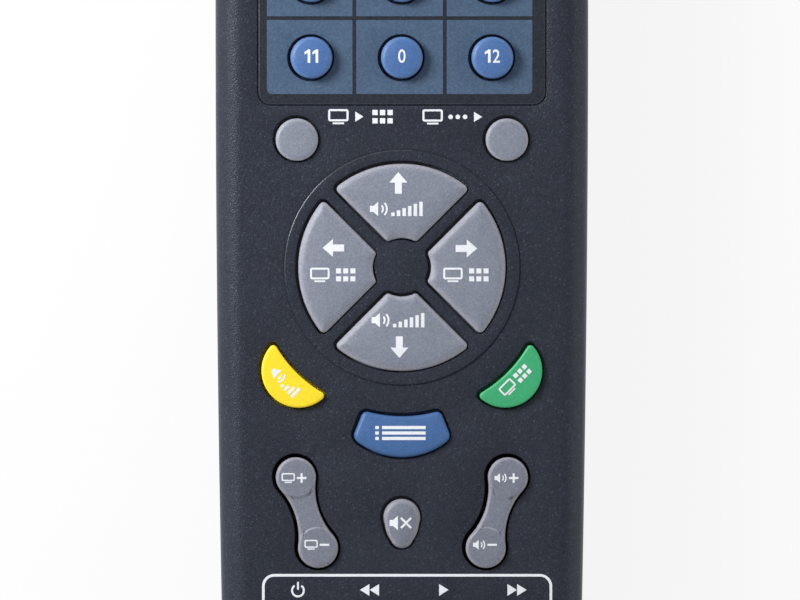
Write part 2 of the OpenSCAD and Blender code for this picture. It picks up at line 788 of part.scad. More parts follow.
module all_key_holes() {
    for (i = [0:number_n - 1]) round_hole(number_at(i), number_r);
    for (i = [0:len(tape_names) - 1]) round_hole(tape_at(i), round_r);
    for (side = [-1, 1]) round_hole([side * input_at.x, input_at.y], round_r);
    round_hole(power_at, power_r);
    round_hole([-power_at.x, power_at.y], set_r);
    for (i = [0:device_n - 1]) key_hole(key_gap) device_outline(i);
    for (turn = [0:90:270]) key_hole(key_gap) nav_outline(turn);
    for (turn = [-135, -45]) key_hole(key_gap) crescent_outline(turn);
    key_hole(key_gap) menu_outline();
    key_hole(key_gap) mute_outline();
    for (side = [-1, 1]) key_hole(rocker_gap) rocker_outline(side);
}

module lower_case() {
    color(case_black) difference() {
        union() {
            difference() {
                loft(lower_outer);
                loft(lower_inner);
            }
            intersection() {
                loft(lower_outer);
                door_pad();
            }
            block(
                [-bay_w / 2 - bay_wall, bay_end - bay_wall, floor_t / 2],
                [bay_w / 2 + bay_wall, bay_head + bay_wall, bay_ceiling + bay_wall]
            );
            for (p = screw_at)
                translate([p.x, p.y, floor_t / 2]) cylinder(r = pillar_r, h = split_z - floor_t / 2);
            for (p = post_at)
                translate([p.x, p.y, floor_t / 2]) cylinder(r = post_r, h = board_bottom - floor_t / 2);
            translate([0, 0, split_z - 2 * overlap]) linear_extrude(2 * overlap + lip_h)
                case_band(wall - lip_t - lip_gap, wall - lip_gap);
        }
        block([-bay_w / 2, bay_end, -cut], [bay_w / 2, bay_head, bay_ceiling]);
        door_slot();
        for (p = screw_at) translate([p.x, p.y, -overlap]) {
            cylinder(r = screw_head_r + seat_gap, h = screw_seat_z + overlap);
            cylinder(r = screw_r + screw_gap, h = split_z + 2 * overlap);
        }
        window_cut();
    }
}

// The thickened back round the door, which the door slides in
module door_pad() {
    w = door_w / 2 + tongue_w + door_gap + bay_wall;
    block([-w, -body_l, 0], [w, door_end + door_gap + bay_wall, pad_top]);
}

module door_slot() {
    w = door_w / 2 + door_gap;
    tongue_z = door_in / 2 + door_sink / 2;
    block([-w, -body_l, -cut], [w, door_end + door_gap, door_in + door_gap]);
    block(
        [-w - tongue_w, -body_l, tongue_z - tongue_t / 2 - door_gap],
        [w + tongue_w, door_end + door_gap, tongue_z + tongue_t / 2 + door_gap]
    );
}

module battery_door() {
    tongue_z = door_in / 2 + door_sink / 2;
    grip_l = door_w / 2;
    grip_y = door_end - grip_pitch * 2;
    color(case_black) difference() {
        intersection() {
            loft(lower_outer);
            union() {
                block([-door_w / 2, -body_l, door_sink], [door_w / 2, door_end, door_in]);
                block(
                    [-door_w / 2 - tongue_w, -body_l, tongue_z - tongue_t / 2],
                    [door_w / 2 + tongue_w, door_end, tongue_z + tongue_t / 2]
                );
            }
        }
        for (i = [0:grip_n - 1]) translate([0, grip_y - i * grip_pitch, door_sink])
            rotate([0, 90, 0]) cylinder(r = grip_w / 2, h = grip_l, center = true);
    }
}

module window_cut() {
    w = window_w / 2 + window_gap;
    h = window_h / 2 + window_gap;
    block([-w, body_l / 2 - wall - overlap, window_z - h], [w, body_l, window_z + h]);
}

module ir_window() {
    face_y = body_l / 2 - window_sink;
    rim_w = window_w / 2 + window_rim;
    rim_h = window_h / 2 + window_rim;
    color([0.16, 0.02, 0.03]) {
        block(
            [-window_w / 2, window_back - window_rim / 2, window_z - window_h / 2],
            [window_w / 2, face_y, window_z + window_h / 2]
        );
        block(
            [-rim_w, window_back - window_rim, window_z - rim_h],
            [rim_w, window_back, window_z + rim_h]
        );
    }
}

module number_panel() {
    color(panel_black) difference() {
        translate([0, 0, panel_floor]) linear_extrude(panel_t) panel_outline(0);
        for (i = [0:number_n - 1]) round_hole(number_at(i), number_r);
    }
}

// Every contact foot, as [place, radius]
feet = concat(
    [for (i = [0:number_n - 1]) [number_at(i), foot_r]],
    [for (i = [0:device_n - 1]) [device_at(i), foot_r]],
    [for (i = [0:len(tape_names) - 1]) [tape_at(i), foot_r]],
    [for (side = [-1, 1]) [[side * input_at.x, input_at.y], foot_r]],
    [for (side = [-1, 1]) [[side * power_at.x, power_at.y], foot_r]],
    [for (turn = [0:90:270]) [nav_c + nav_foot_d * [cos(turn), sin(turn)], foot_r]],
    [for (turn = [-135, -45]) [nav_c + crescent_foot_d * [cos(turn), sin(turn)], foot_r]],
    [[menu_foot_at, foot_r], [mute_foot_at, foot_r]]
);

module board_outline(gap) {
    difference() {
        intersection() {
            polygon(inset_path(case_path, wall + draft + gap));
            translate([-body_w / 2, board_y0]) square([body_w, board_y1 - board_y0]);
        }
        for (p = screw_at) translate(p) circle(boss_r + board_gap);
    }
}

module circuit_board() {
    color([0.1, 0.35, 0.18]) translate([0, 0, board_bottom])
        linear_extrude(board_t) board_outline(board_gap);
}

module mat_openings() {
    for (f = feet) translate(f[0]) circle(f[1] + mat_gap);
    for (side = [-1, 1]) rocker_frame(side)
        for (y = [-rocker_reach, rocker_reach]) translate([0, y]) circle(rocker_foot_r + mat_gap);
    translate(led_at) circle(led_flange_r + mat_gap);
}

// The mat lies on the board, open round each contact foot, with saddles under the rockers' lugs
module keypad_mat() {
    saddle_z = board_top + mat_t / 2;
    saddle_h = lug_z - lug_r - saddle_gap - saddle_z;
    color([0.2, 0.2, 0.22]) {
        difference() {
            translate([0, 0, board_top]) linear_extrude(mat_t) board_outline(2 * board_gap);
            translate([0, 0, board_top - overlap]) linear_extrude(mat_t + 2 * overlap) mat_openings();
        }
        for (side = [-1, 1]) translate([0, 0, saddle_z]) rocker_frame(side)
            for (x = [-1, 1]) translate([x * (lug_reach - lug_r), 0]) cylinder(r = lug_r, h = saddle_h);
    }
}

module indicator_led() {
    dome_z = body_h - led_r + led_proud;
    color([0.8, 0.1, 0.1, 0.8]) translate([led_at.x, led_at.y, 0]) {
        translate([0, 0, board_top]) cylinder(r = led_r, h = dome_z - board_top);
        translate([0, 0, dome_z]) sphere(led_r);
        translate([0, 0, board_top]) cylinder(r = led_flange_r, h = led_flange_h);
    }
}

// Infrared diode under the board's edge, on two bent legs
module ir_led() {
    flange_y = window_back - window_rim - ir_front - ir_l;
    axis_z = board_bottom - ir_r - ir_flange - ir_clear;
    half = ir_leg / 2;
    color([0.25, 0.28, 0.35, 0.9]) translate([0, flange_y, axis_z]) {
        rotate([-90, 0, 0]) {
            cylinder(r = ir_r, h = ir_l - ir_r);
            translate([0, 0, ir_l - ir_r]) sphere(ir_r);
            cylinder(r = ir_r + ir_flange, h = ir_flange_t);
        }
        for (x = [-ir_leg_x, ir_leg_x]) {
            block([x - half, -ir_leg_l, -half], [x + half, ir_leg, half]);
            block([x - half, -ir_leg_l, -half], [x + half, -ir_leg_l + ir_leg, board_bottom - axis_z]);
        }
    }
}

// Parts on the underside of the board, each standing on its own legs
module control_chip() {
    leg_x = chip_w / 2 + chip_leg_l;
    foot = chip_leg_t / 2;
    color([0.08, 0.08, 0.08]) translate([0, chip_y, board_bottom]) {
        block([-chip_w / 2, -chip_l / 2, -chip_h - foot], [chip_w / 2, chip_l / 2, -foot]);
        for (i = [0:chip_legs - 1]) let (y = (i - (chip_legs - 1) / 2) * chip_pitch)
            block([-leg_x, y - chip_leg_w / 2, -chip_leg_t], [leg_x, y + chip_leg_w / 2, 0]);
    }
}

module resonator() {
    leg = resonator_leg;
    color([0.85, 0.6, 0.15]) translate([-resonator_x, number_row_y[1], board_bottom]) {
        block(
            [-resonator_w / 2, -resonator_t / 2, -resonator_h - leg],
            [resonator_w / 2, resonator_t / 2, -leg]
        );
        for (side = [-1, 1])
            translate([side * resonator_w / 3, 0, -2 * leg]) cylinder(d = leg, h = 2 * leg);
    }
}

module capacitor() {
    color([0.1, 0.14, 0.35]) translate([capacitor_x, post_y[0], board_bottom]) {
        translate([0, 0, -can_h - can_stand]) cylinder(r = can_r, h = can_h);
        for (x = [-can_leg_x, can_leg_x])
            translate([x, 0, -2 * can_stand]) cylinder(r = can_leg_r, h = 2 * can_stand);
    }
}

// Eight flat components, and a transistor with one flat face
module chip_components() {
    low = [-part_l / 2, -part_w / 2, -part_h];
    color([0.12, 0.12, 0.13]) translate([0, 0, board_bottom]) {
        for (side = [-1, 1], i = [0, 1], j = [0, 1])
            translate([side * (part_x + i * part_pitch_x), input_at.y - j * part_pitch_y, 0])
                block(low, [-low.x, -low.y, 0]);
        translate([0, number_row_y[0], -transistor_h]) intersection() {
            cylinder(r = transistor_r, h = transistor_h);
            block(
                [-transistor_r, -transistor_flat, -overlap],
                [transistor_r, transistor_r, transistor_h + overlap]
            );
        }
    }
}

// Batteries lie side by side, in opposite directions: way is 1 where the button faces the middle
module battery(side, way) {
    end_y = way > 0 ? bay_head - contact_t - contact_gap : bay_end + contact_t + contact_gap;
    color([0.75, 0.62, 0.25]) translate([side * cell_x, end_y, cell_z]) rotate([way * 90, 0, 0]) {
        translate([0, 0, cell_button_h]) cylinder(d = cell_fit_d, h = cell_l - cell_button_h);
        cylinder(r = cell_button_r, h = cell_button_h + overlap);
    }
}

// A conical coil in a plane-ended space of length spring_l along +Z, as one tube along a helix
spring_steps = 8;
spring_sides = 6;
spring_n = round(spring_turns * spring_steps);
spring_low = spring_wire / 2 + contact_gap;
function spring_point(i) =
    let (t = i / spring_n, a = 360 * spring_turns * t, r = spring_r + (spring_tip_r - spring_r) * t)
    [r * cos(a), r * sin(a), spring_low + t * (spring_l - 2 * spring_low)];
spring_path = [for (i = [0:spring_n]) spring_point(i)];
spring_gap = min([
    for (i = [0:spring_n], j = [0:spring_n])
        if (j - i >= spring_steps / 2) norm(spring_path[j] - spring_path[i])
]) - spring_wire;
echo(least_gap_between_spring_turns = spring_gap);

module spring() {
    points = [
        for (i = [0:spring_n]) let (
            ahead = spring_path[min(i + 1, spring_n)],
            behind = spring_path[max(i - 1, 0)],
            along = unit(ahead - behind),
            out = unit([spring_path[i].x, spring_path[i].y, 0]),
            u = unit(out - (out * along) * along),
            v = cross(along, u)
        ) for (k = [0:spring_sides - 1]) let (a = 360 * k / spring_sides)
            spring_path[i] + spring_wire / 2 * (cos(a) * u + sin(a) * v)
    ];
    walls = [
        for (i = [0:spring_n - 1], k = [0:spring_sides - 1])
            let (a = i * spring_sides + k, b = i * spring_sides + (k + 1) % spring_sides)
            each [[a, a + spring_sides, b], [b, a + spring_sides, b + spring_sides]]
    ];
    last = spring_n * spring_sides;
    caps = [
        [for (k = [0:spring_sides - 1]) k],
        [for (k = [spring_sides - 1:-1:0]) last + k]
    ];
    polyhedron(points = points, faces = concat(caps, walls), convexity = 8);
}

module contact_springs() {
    color([0.75, 0.76, 0.78]) {
        translate([-cell_x, bay_end + contact_t, cell_z]) rotate([-90, 0, 0]) spring();
        translate([cell_x, bay_head - contact_t, cell_z]) rotate([90, 0, 0]) spring();
    }
}

// One strip joins both batteries at the battery end, and each has its own plate at the other end
module contact_plates() {
    half = cell_fit_d / 2 - plate_inset;
    color([0.8, 0.8, 0.82]) translate([0, 0, cell_z]) {
        block([-cell_x - half, bay_end, -half], [cell_x + half, bay_end + contact_t, half]);
        for (x = [-cell_x, cell_x])
            block([x - half, bay_head - contact_t, -half], [x + half, bay_head, half]);
    }
}

module case_screws() {
    color([0.55, 0.55, 0.58]) for (p = screw_at) translate([p.x, p.y, screw_seat_z]) difference() {
        union() {
            translate([0, 0, -screw_head_h]) cylinder(r = screw_head_r, h = screw_head_h);
            translate([0, 0, -screw_head_h / 2]) cylinder(r = screw_r, h = screw_l + screw_head_h / 2);
        }
        for (turn = [0, 90]) rotate(turn) translate([0, 0, -screw_head_h])
            cube([cross_l, cross_w, screw_head_h], center = true);
    }
}

upper_case();
lower_case();
battery_door();
ir_window();
number_panel();
keypad_mat();
circuit_board();
control_chip();
resonator();
capacitor();
chip_components();
ir_led();
indicator_led();
battery(-1, 1);  // battery_left
battery(1, -1);  // battery_right
contact_springs();
contact_plates();
case_screws();
main_power_key();
set_key();
input_key(-1);  // input_key_left
input_key(1);  // input_key_right
crescent_key(-135, key_yellow);  // yellow_key
crescent_key(-45, key_green);  // green_key
menu_key();
mute_key();
rocker(-1);  // channel_rocker
rocker(1);  // volume_rocker
for (i = [0:len(nav_names) - 1]) nav_key(90 * i);
for (i = [0:number_n - 1]) number_key(i);
for (i = [0:device_n - 1]) device_key(i);
for (i = [0:len(tape_names) - 1]) tape_key(i);
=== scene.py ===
"""Universal remote control: finished surfaces, finishes, printed signs and studio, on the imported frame."""

import bmesh
import bpy
import numpy as np
from bpy.props import FloatProperty, FloatVectorProperty, PointerProperty
from bpy.types import Operator, Panel, PropertyGroup
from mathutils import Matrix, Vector, geometry


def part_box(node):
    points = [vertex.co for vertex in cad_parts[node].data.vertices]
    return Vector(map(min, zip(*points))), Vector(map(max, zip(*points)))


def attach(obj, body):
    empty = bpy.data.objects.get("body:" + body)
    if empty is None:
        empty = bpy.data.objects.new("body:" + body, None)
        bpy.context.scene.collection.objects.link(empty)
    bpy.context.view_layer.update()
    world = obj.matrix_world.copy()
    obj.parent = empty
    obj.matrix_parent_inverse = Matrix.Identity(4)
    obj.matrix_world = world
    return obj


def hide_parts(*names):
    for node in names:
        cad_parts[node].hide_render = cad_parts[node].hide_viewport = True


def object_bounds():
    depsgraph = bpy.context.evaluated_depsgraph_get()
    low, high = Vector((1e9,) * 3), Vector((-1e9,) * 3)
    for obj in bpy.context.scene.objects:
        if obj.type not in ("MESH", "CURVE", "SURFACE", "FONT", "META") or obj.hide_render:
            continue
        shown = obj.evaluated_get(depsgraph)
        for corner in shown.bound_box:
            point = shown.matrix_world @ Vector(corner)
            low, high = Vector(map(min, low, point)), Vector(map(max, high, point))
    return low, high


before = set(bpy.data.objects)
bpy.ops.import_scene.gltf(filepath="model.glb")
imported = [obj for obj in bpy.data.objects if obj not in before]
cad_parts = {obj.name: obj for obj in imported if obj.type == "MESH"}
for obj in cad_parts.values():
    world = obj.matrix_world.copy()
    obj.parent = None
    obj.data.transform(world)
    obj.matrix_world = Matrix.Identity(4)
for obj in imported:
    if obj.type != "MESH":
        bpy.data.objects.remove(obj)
FRAME_BOX = [list(corner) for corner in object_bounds()]

bl_info = {
    "name": "Universal Remote Control",
    "version": (1, 0, 0),
    "blender": (4, 5, 0),
    "location": "View3D > Sidebar > Remote",
    "description": "Builds the finished surfaces of a universal remote control on its CAD frame",
    "category": "Object",
}

MM = 0.001
MERGE = 2e-7
DEGENERATE = 1e-8
NUMBER_KEYS = [f"number_key_{i}" for i in range(1, 13)]
DEVICE_KEYS = [f"device_key_{i}" for i in range(1, 7)]
TAPE_KEYS = [
    "tape_power_key", "rewind_key", "play_key", "forward_key",
    "record_key", "stop_key", "pause_key", "eject_key",
]
NAV_KEYS = {"nav_right_key": 0, "nav_up_key": 90, "nav_left_key": 180, "nav_down_key": 270}
CRESCENTS = {"yellow_key": -135, "green_key": -45}
ROCKERS = {"channel_rocker": -1, "volume_rocker": 1}
ROUND_KEYS = ["input_key_left", "input_key_right", "main_power_key", "set_key"] + TAPE_KEYS
PLATE_KEYS = ROUND_KEYS + DEVICE_KEYS + list(CRESCENTS) + list(ROCKERS) + ["menu_key", "mute_key"]

# Tops of the keys in millimetres: width and height of the rounded edge, fall of the crown and its reach
KEY_FORMS = [
    (NAV_KEYS, (1.0, 0.6, 0.35, 3.4)),
    (CRESCENTS, (0.3, 0.3, 0.06, 1.6)),
    (["menu_key"], (0.55, 0.5, 0.22, 2.4)),
    (["mute_key"], (0.7, 0.6, 0.4, 2.5)),
    (ROCKERS, (0.55, 0.5, 0.1, 1.4)),
    (NUMBER_KEYS, (0.6, 0.5, 0.3, 2.6)),
]
FLAT_KEY_FORM = (0.65, 0.45, 0.12, 2.0)


def size(name, millimetres, description):
    """A length property; its default is given in millimetres and kept in metres."""
    return FloatProperty(
        name=name, description=description, default=millimetres * MM, unit="LENGTH", precision=5
    )


def tint(name, red, green, blue, description):
    """A colour property; its default is an 8-bit screen colour, kept in linear light."""
    screen = np.array([red, green, blue]) / 255
    linear = np.where(screen <= 0.04045, screen / 12.92, ((screen + 0.055) / 1.055) ** 2.4)
    return FloatVectorProperty(
        name=name, description=description, default=tuple(linear), size=3, min=0, max=1, subtype="COLOR"
    )


def centre(node):
    """Middle of a CAD node's box, seen from above."""
    low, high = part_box(node)
    return np.array([low.x + high.x, low.y + high.y]) / 2


class CaseSizes(PropertyGroup):
    """Sizes of the shells, the panel and the battery bay."""

    length: FloatProperty(
        name="Length", description="Overall length of the case", unit="LENGTH", precision=5,
        default=FRAME_BOX[1][1] - FRAME_BOX[0][1],
    )
    width: FloatProperty(
        name="Width", description="Width of the case at its widest section", unit="LENGTH", precision=5,
        default=FRAME_BOX[1][0] - FRAME_BOX[0][0],
    )
    top_face: size("Top face", 22, "Height of the top face")
    parting: size("Parting line", 11, "Height of the line between the shells")
    seam: size("Seam", 0.3, "Depth of the groove along the parting line")
    widest: size("Widest place", 22.5, "Distance of the widest section from the middle")
    bow: size("Side bow", 4100, "Radius of the gentle bow of each long side")
    lens_corner_l: size("Lens corner length", 9, "Length of the corners at the infrared end")
    lens_corner_w: size("Lens corner width", 14, "Width of the corners at the infrared end")
    tail_corner_l: size("Tail corner length", 11, "Length of the corners at the battery end")
    tail_corner_w: size("Tail corner width", 18, "Width of the corners at the battery end")
    top_edge: size("Top edge", 3.5, "Radius of the edge round the top face")
    back_edge: size("Back edge", 5, "Radius of the edge round the back")
    draft: size("Draft", 0.2, "Lean of the side walls above the parting line")
    wall: size("Wall", 2, "Thickness of the walls, the plate and the back")
    lip: size("Hole lip", 0.16, "Rounding of the edges of the key holes")
    disc: size("Disc radius", 16.4, "Radius of the raised disc round the arrow keys")
    disc_rise: size("Disc rise", 0.25, "Height of the raised disc")
    panel_edge: size("Panel corner", 1.75, "Corner radius of the number panel")
    panel_gap: size("Panel gap", 0.1, "Gap between the panel and its recess")
    cell_half: size("Cell field", 18.45, "Half width of the field of printed cells")
    cell_line: size("Column line", 0.53, "Width of the dark lines between the columns of cells")
    row_line: size("Row line", 0.53, "Width of the dark lines between the rows of cells")
    cell_up: size("Cell top", 5.24, "Reach of a cell above its key's middle")
    cell_down: size("Lowest cell", 5.05, "Reach of the lowest cells below their keys' middles")
    cell_shift: size("Cell shift", -0.32, "Sideways shift of the printed cells")


class KeySizes(PropertyGroup):
    """Sizes of the keys."""

    gap: size("Key gap", 0.3, "Gap round each key in its hole")
    rocker_gap: size("Rocker gap", 0.4, "Gap round a rocker in its hole")
    flange: size("Flange", 0.7, "Reach of the flange under the plate")
    flange_t: size("Flange thickness", 0.8, "Thickness of that flange")
    flange_gap: size("Flange gap", 0.3, "Gap between a flange and the plate")
    foot: size("Foot", 1.6, "Radius of the contact foot under a key")
    corner: size("Key corner", 0.75, "Rounding of the corners of the shaped keys")
    bite_corner: size("Bite corner", 0.3, "Rounding of an arrow key's corners beside the hub")
    hole_x: size("Hole shift X", -0.1, "Sideways shift of the holes against the keys")
    hole_y: size("Hole shift Y", 0.1, "Lengthways shift of the holes against the keys")
    sheet_x: size("Sheet hole shift", -0.1, "Sideways shift of the panel's holes against the number keys")
    nav: size("Arrow ring", 14.4, "Outer radius of the arrow keys")
    nav_hub: size("Arrow hub", 4.05, "Radius of the bite at their inner ends")
    nav_bar: size("Arrow bars", 2.16, "Width of the bars between the arrow keys")
    crescent_d: size("Crescent distance", 20.3, "Distance of the crescents from the ring's middle")
    crescent: size("Crescent radius", 5.16, "Radius of a crescent's outer edge")
    hollow: size("Hollow radius", 18.2, "Radius of the hollow edges facing the arrow keys")
    hollow_d: size("Hollow offset", 2.5, "Offset of the centre of a hollow edge")
    menu_top_w: size("Menu upper width", 5.35, "Half width of the menu key at its upper corners")
    menu_w: size("Menu lower width", 6.9, "Half width of the menu key at its lower corners")
    menu_side: size("Menu side", 3.9, "Height of the slanted sides of the menu key")
    menu: size("Menu bulge", 10.1, "Radius of the bulging lower edge of the menu key")
    menu_depth: size("Menu depth", 5.7, "Depth of the menu key along its middle")
    rocker_reach: size("Rocker reach", 5.15, "Half the distance between a rocker's round ends")
    rocker: size("Rocker ends", 2.78, "Radius of a rocker's round ends")
    rocker_waist: size("Rocker waist", 1.67, "Half width of a rocker's waist")
    rocker_dip: size("Rocker dip", 0.22, "Depth of a rocker's neck below its round pads")
    rocker_lean: FloatProperty(
        name="Rocker lean", description="Lean of a rocker from the length of the case",
        default=np.radians(17.4), subtype="ANGLE",
    )
    mute: size("Mute wide end", 2.56, "Radius of the wide end of the mute key")
    mute_tip: size("Mute narrow end", 1.6, "Radius of the narrow end of the mute key")
    mute_l: size("Mute length", 2.7, "Distance between the two ends of the mute key")
    mute_swell: size("Mute fullness", 0.17, "How far the flanks of the mute key bow outwards half way down")
    device_l: size("Device length", 7.4, "Length of an oval device key")
    device_w: size("Device width", 3.8, "Width of an oval device key")


class PrintSizes(PropertyGroup):
    """Sizes of the printed signs."""

    thickness: size("Ink", 0.03, "Height of the ink above the surface")
    sunk: size("Ink depth", 0.06, "Depth of the ink below the surface")
    shift: size("Print shift", 0.7, "Sideways shift of the print on the case")
    line: size("Frame line", 0.37, "Width of the printed frame's line")
    number: size("Number height", 2.6, "Letter size of the printed numbers")
    frame_up: size("Frame top", 7.22, "Height of the printed frame's upper edge above the tape keys' middles")
    legend_up: size("Tape signs", 5.0, "Height of the signs above the tape keys' middles")


class Finishes(PropertyGroup):
    """Colours of the finishes."""

    case: tint("Case", 47, 50, 60, "Grained case plastic")
    border: tint("Panel border", 37, 41, 50, "Dark border of the number panel")
    cells: tint("Panel cells", 74, 95, 121, "Steel-blue cells of the number panel")
    grey: tint("Grey keys", 131, 136, 151, "Grey rubber keys")
    rocker: tint("Rockers", 122, 126, 140, "Grey rubber rockers and mute key")
    blue: tint("Number keys", 74, 110, 166, "Blue rubber number keys")
    menu: tint("Menu key", 68, 105, 158, "Blue rubber menu key")
    yellow: tint("Yellow key", 252, 224, 44, "Yellow rubber crescent")
    green: tint("Green key", 62, 172, 116, "Green rubber crescent")
    red: tint("Power key", 176, 44, 42, "Red rubber power key")
    ink: tint("Ink", 236, 239, 245, "White printed signs")
    window: tint("Window", 34, 8, 12, "Infrared window")
    mat: tint("Mat", 60, 60, 63, "Rubber mat")
    board: tint("Board", 28, 92, 52, "Circuit board")


class StageSizes(PropertyGroup):
    """Camera, lamps, floor and surroundings."""

    camera_x: size("Camera X", -0.26, "Sideways place of the camera")
    camera_y: size("Camera Y", -19.19, "Lengthways place of the camera")
    camera_rise: size("Camera rise", 3000, "Height of the camera above the top face")
    view_width: size("View width", 111.23, "Width of the view at the top face")
    key_at: FloatVectorProperty(
        name="Key lamp place", description="Place of the lamp at the upper left, from the middle of the view",
        default=(-0.207, 0.132, 0.182), unit="LENGTH", subtype="TRANSLATION",
    )
    key_side: size("Key lamp size", 120, "Side of that square lamp")
    key_power: FloatProperty(
        name="Key lamp", description="Power of the lamp at the upper left", default=0.93, unit="POWER"
    )
    side_at: FloatVectorProperty(
        name="Side lamp place", description="Place of the lamp at the right, from the middle of the view",
        default=(0.6, 0, 0.1), unit="LENGTH", subtype="TRANSLATION",
    )
    side_l: size("Side lamp length", 800, "Length of that strip lamp")
    side_w: size("Side lamp width", 100, "Width of that strip lamp")
    side_power: FloatProperty(
        name="Side lamp", description="Power of the low strip lamp at the right", default=0.85, unit="POWER"
    )
    zenith: FloatProperty(
        name="Zenith", description="Strength of the white surroundings overhead", default=0.24
    )
    horizon: FloatProperty(
        name="Horizon", description="Strength of the white surroundings all round", default=0.85
    )
    floor_half: size("Floor", 1500, "Half the side of the square floor")
    floor_drop: size("Floor drop", 0.1, "Depth of the floor below the back of the case")
    floor_glow: FloatProperty(
        name="Floor glow", description="Share of the floor that shows as plain white", default=0.87
    )


# Surfaces

def unit(angle):
    """Unit vector in the plane at one angle, or one at each of many."""
    return np.stack([np.cos(angle), np.sin(angle)], axis=-1)


def circle(count):
    """Points at even steps round the unit circle."""
    return unit(np.linspace(0, 2 * np.pi, count, endpoint=False))


def ring_quads(rows, cols):
    """Quads between the closed rings of a grid; they face out where rings run anticlockwise and climb."""
    row = np.arange(rows - 1)[:, None] * cols
    col = np.arange(cols)[None, :]
    after = (col + 1) % cols
    return np.stack([row + col, row + after, row + cols + after, row + cols + col], axis=-1).reshape(-1, 4)


def sleeve(rings):
    """Skin through a stack of closed rings, where rings[k, j] is point j of ring k."""
    rows, cols, _ = rings.shape
    return rings.reshape(-1, 3), ring_quads(rows, cols)


def at_height(loop, z):
    """A flat loop lifted to the height z, which is one number or one for each point."""
    return np.column_stack([loop, np.broadcast_to(z, len(loop))])


def inside(points, loop):
    """Which points a closed loop holds: those whose ray along +X crosses it an odd number of times."""
    x, y = points[:, :1], points[:, 1:]
    ax, ay = loop[:, 0], loop[:, 1]
    bx, by = np.roll(ax, -1), np.roll(ay, -1)
    straddles = (ay > y) != (by > y)
    rise = np.where(by == ay, 1, by - ay)
    return (straddles & (x < ax + (y - ay) * (bx - ax) / rise)).sum(axis=1) % 2 == 1


def flat(loops, z, up=True):
    """Level face inside the first loop and outside the others, triangulated on the loops' own points."""
    loops = [loop[:, :2] for loop in loops]
    points = np.concatenate(loops) / MM
    starts = np.cumsum([0] + [len(loop) for loop in loops])
    spans = [np.arange(a, b) for a, b in zip(starts[:-1], starts[1:])]
    edges = np.concatenate([np.column_stack([span, np.roll(span, -1)]) for span in spans])
    found = geometry.delaunay_2d_cdt([Vector(p) for p in points.tolist()], edges.tolist(), [], 1, 1e-6)
    corners = np.array([tuple(v) for v in found[0]]) * MM
    faces = np.array(found[2])
    middles = corners[faces].mean(axis=1)
    keep = inside(middles, loops[0])
    for loop in loops[1:]:
        low, high = loop.min(axis=0), loop.max(axis=0)
        near = np.flatnonzero(((middles >= low) & (middles <= high)).all(axis=1))
        keep[near[inside(middles[near], loop)]] = False
    faces = faces[keep]
    a, b, c = (corners[faces[:, k]] for k in range(3))
    turn = (b - a)[:, 0] * (c - a)[:, 1] - (b - a)[:, 1] * (c - a)[:, 0]
    wrong = (turn < 0) == up
    faces[wrong] = faces[wrong][:, ::-1]
    return at_height(corners, z), faces


def block(low, high):
    """Closed box between two corners."""
    low, high = np.asarray(low, float), np.asarray(high, float)
    corners = np.array([[x, y, z] for z in (0, 1) for y in (0, 1) for x in (0, 1)])
    faces = np.array([[0, 2, 3, 1], [4, 5, 7, 6], [0, 1, 5, 4], [2, 6, 7, 3], [0, 4, 6, 2], [1, 3, 7, 5]])
    return low + corners * (high - low), faces


def turned(profile, at, count=64):
    """Surface of revolution about a vertical axis: each (radius, height) of the profile becomes a ring."""
    profile = np.asarray(profile, float)
    flat_rings = np.asarray(at) + profile[:, :1, None] * circle(count)
    heights = np.broadcast_to(profile[:, 1:, None], (len(profile), count, 1))
    return sleeve(np.concatenate([flat_rings, heights], axis=2))


def post(r, low, high):
    """Profile of a plain round post between two heights."""
    return [(0, low), (r, low), (r, high), (0, high)]


def capped(rings):
    """Skin through a stack of closed rings, with a level face at each end."""
    first, last = rings[0], rings[-1]
    return [sleeve(rings), flat([first], first[0, 2], up=False), flat([last], last[0, 2])]


def laid_along(patch):
    """A patch made about the Z axis, turned so that its axis runs along +Y."""
    points, faces = patch
    return np.column_stack([-points[:, 0], points[:, 2], points[:, 1]]), faces


def triangles(mesh):
    """Points and triangles of a mesh."""
    mesh.calc_loop_triangles()
    points = np.empty(3 * len(mesh.vertices))
    faces = np.empty(3 * len(mesh.loop_triangles), dtype=np.int32)
    mesh.vertices.foreach_get("co", points)
    mesh.loop_triangles.foreach_get("vertices", faces)
    return points.reshape(-1, 3), faces.reshape(-1, 3)


def mesh_of(name, patches):
    """One mesh of all patches, with meeting points merged; a patch is points, faces and an ink number."""
    points, faces, inks, start = [], [], [], 0
    for patch in patches:
        places, corners = patch[:2]
        points.append(places)
        faces += (corners + start).tolist()
        inks += [patch[2] if len(patch) > 2 else 0] * len(corners)
        start += len(places)
    mesh = bpy.data.meshes.new(name)
    mesh.from_pydata(np.concatenate(points).tolist(), [], faces)
    mesh.polygons.foreach_set("material_index", np.array(inks, dtype=np.int32))
    work = bmesh.new()
    work.from_mesh(mesh)
    bmesh.ops.remove_doubles(work, verts=work.verts, dist=MERGE)
    bmesh.ops.dissolve_degenerate(work, edges=work.edges, dist=DEGENERATE)
    work.to_mesh(mesh)
    work.free()
    return mesh


def put(name, mesh, body, finishes, replaces=(), crease=35):
    """A finished piece: its mesh, shading, finishes, the body it rides on and the CAD nodes it stands for."""
    piece = bpy.data.objects.new(name, mesh)
    bpy.context.scene.collection.objects.link(piece)
    inks = np.zeros(len(mesh.polygons), dtype=np.int32)
    mesh.polygons.foreach_get("material_index", inks)
    mesh.materials.clear()
    for surface in finishes:
        mesh.materials.append(surface)
    mesh.polygons.foreach_set("material_index", np.minimum(inks, len(finishes) - 1))
    mesh.shade_smooth()
    mesh.set_sharp_from_angle(angle=np.radians(crease))
    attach(piece, body)
    if replaces:
        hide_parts(*replaces)
    return piece


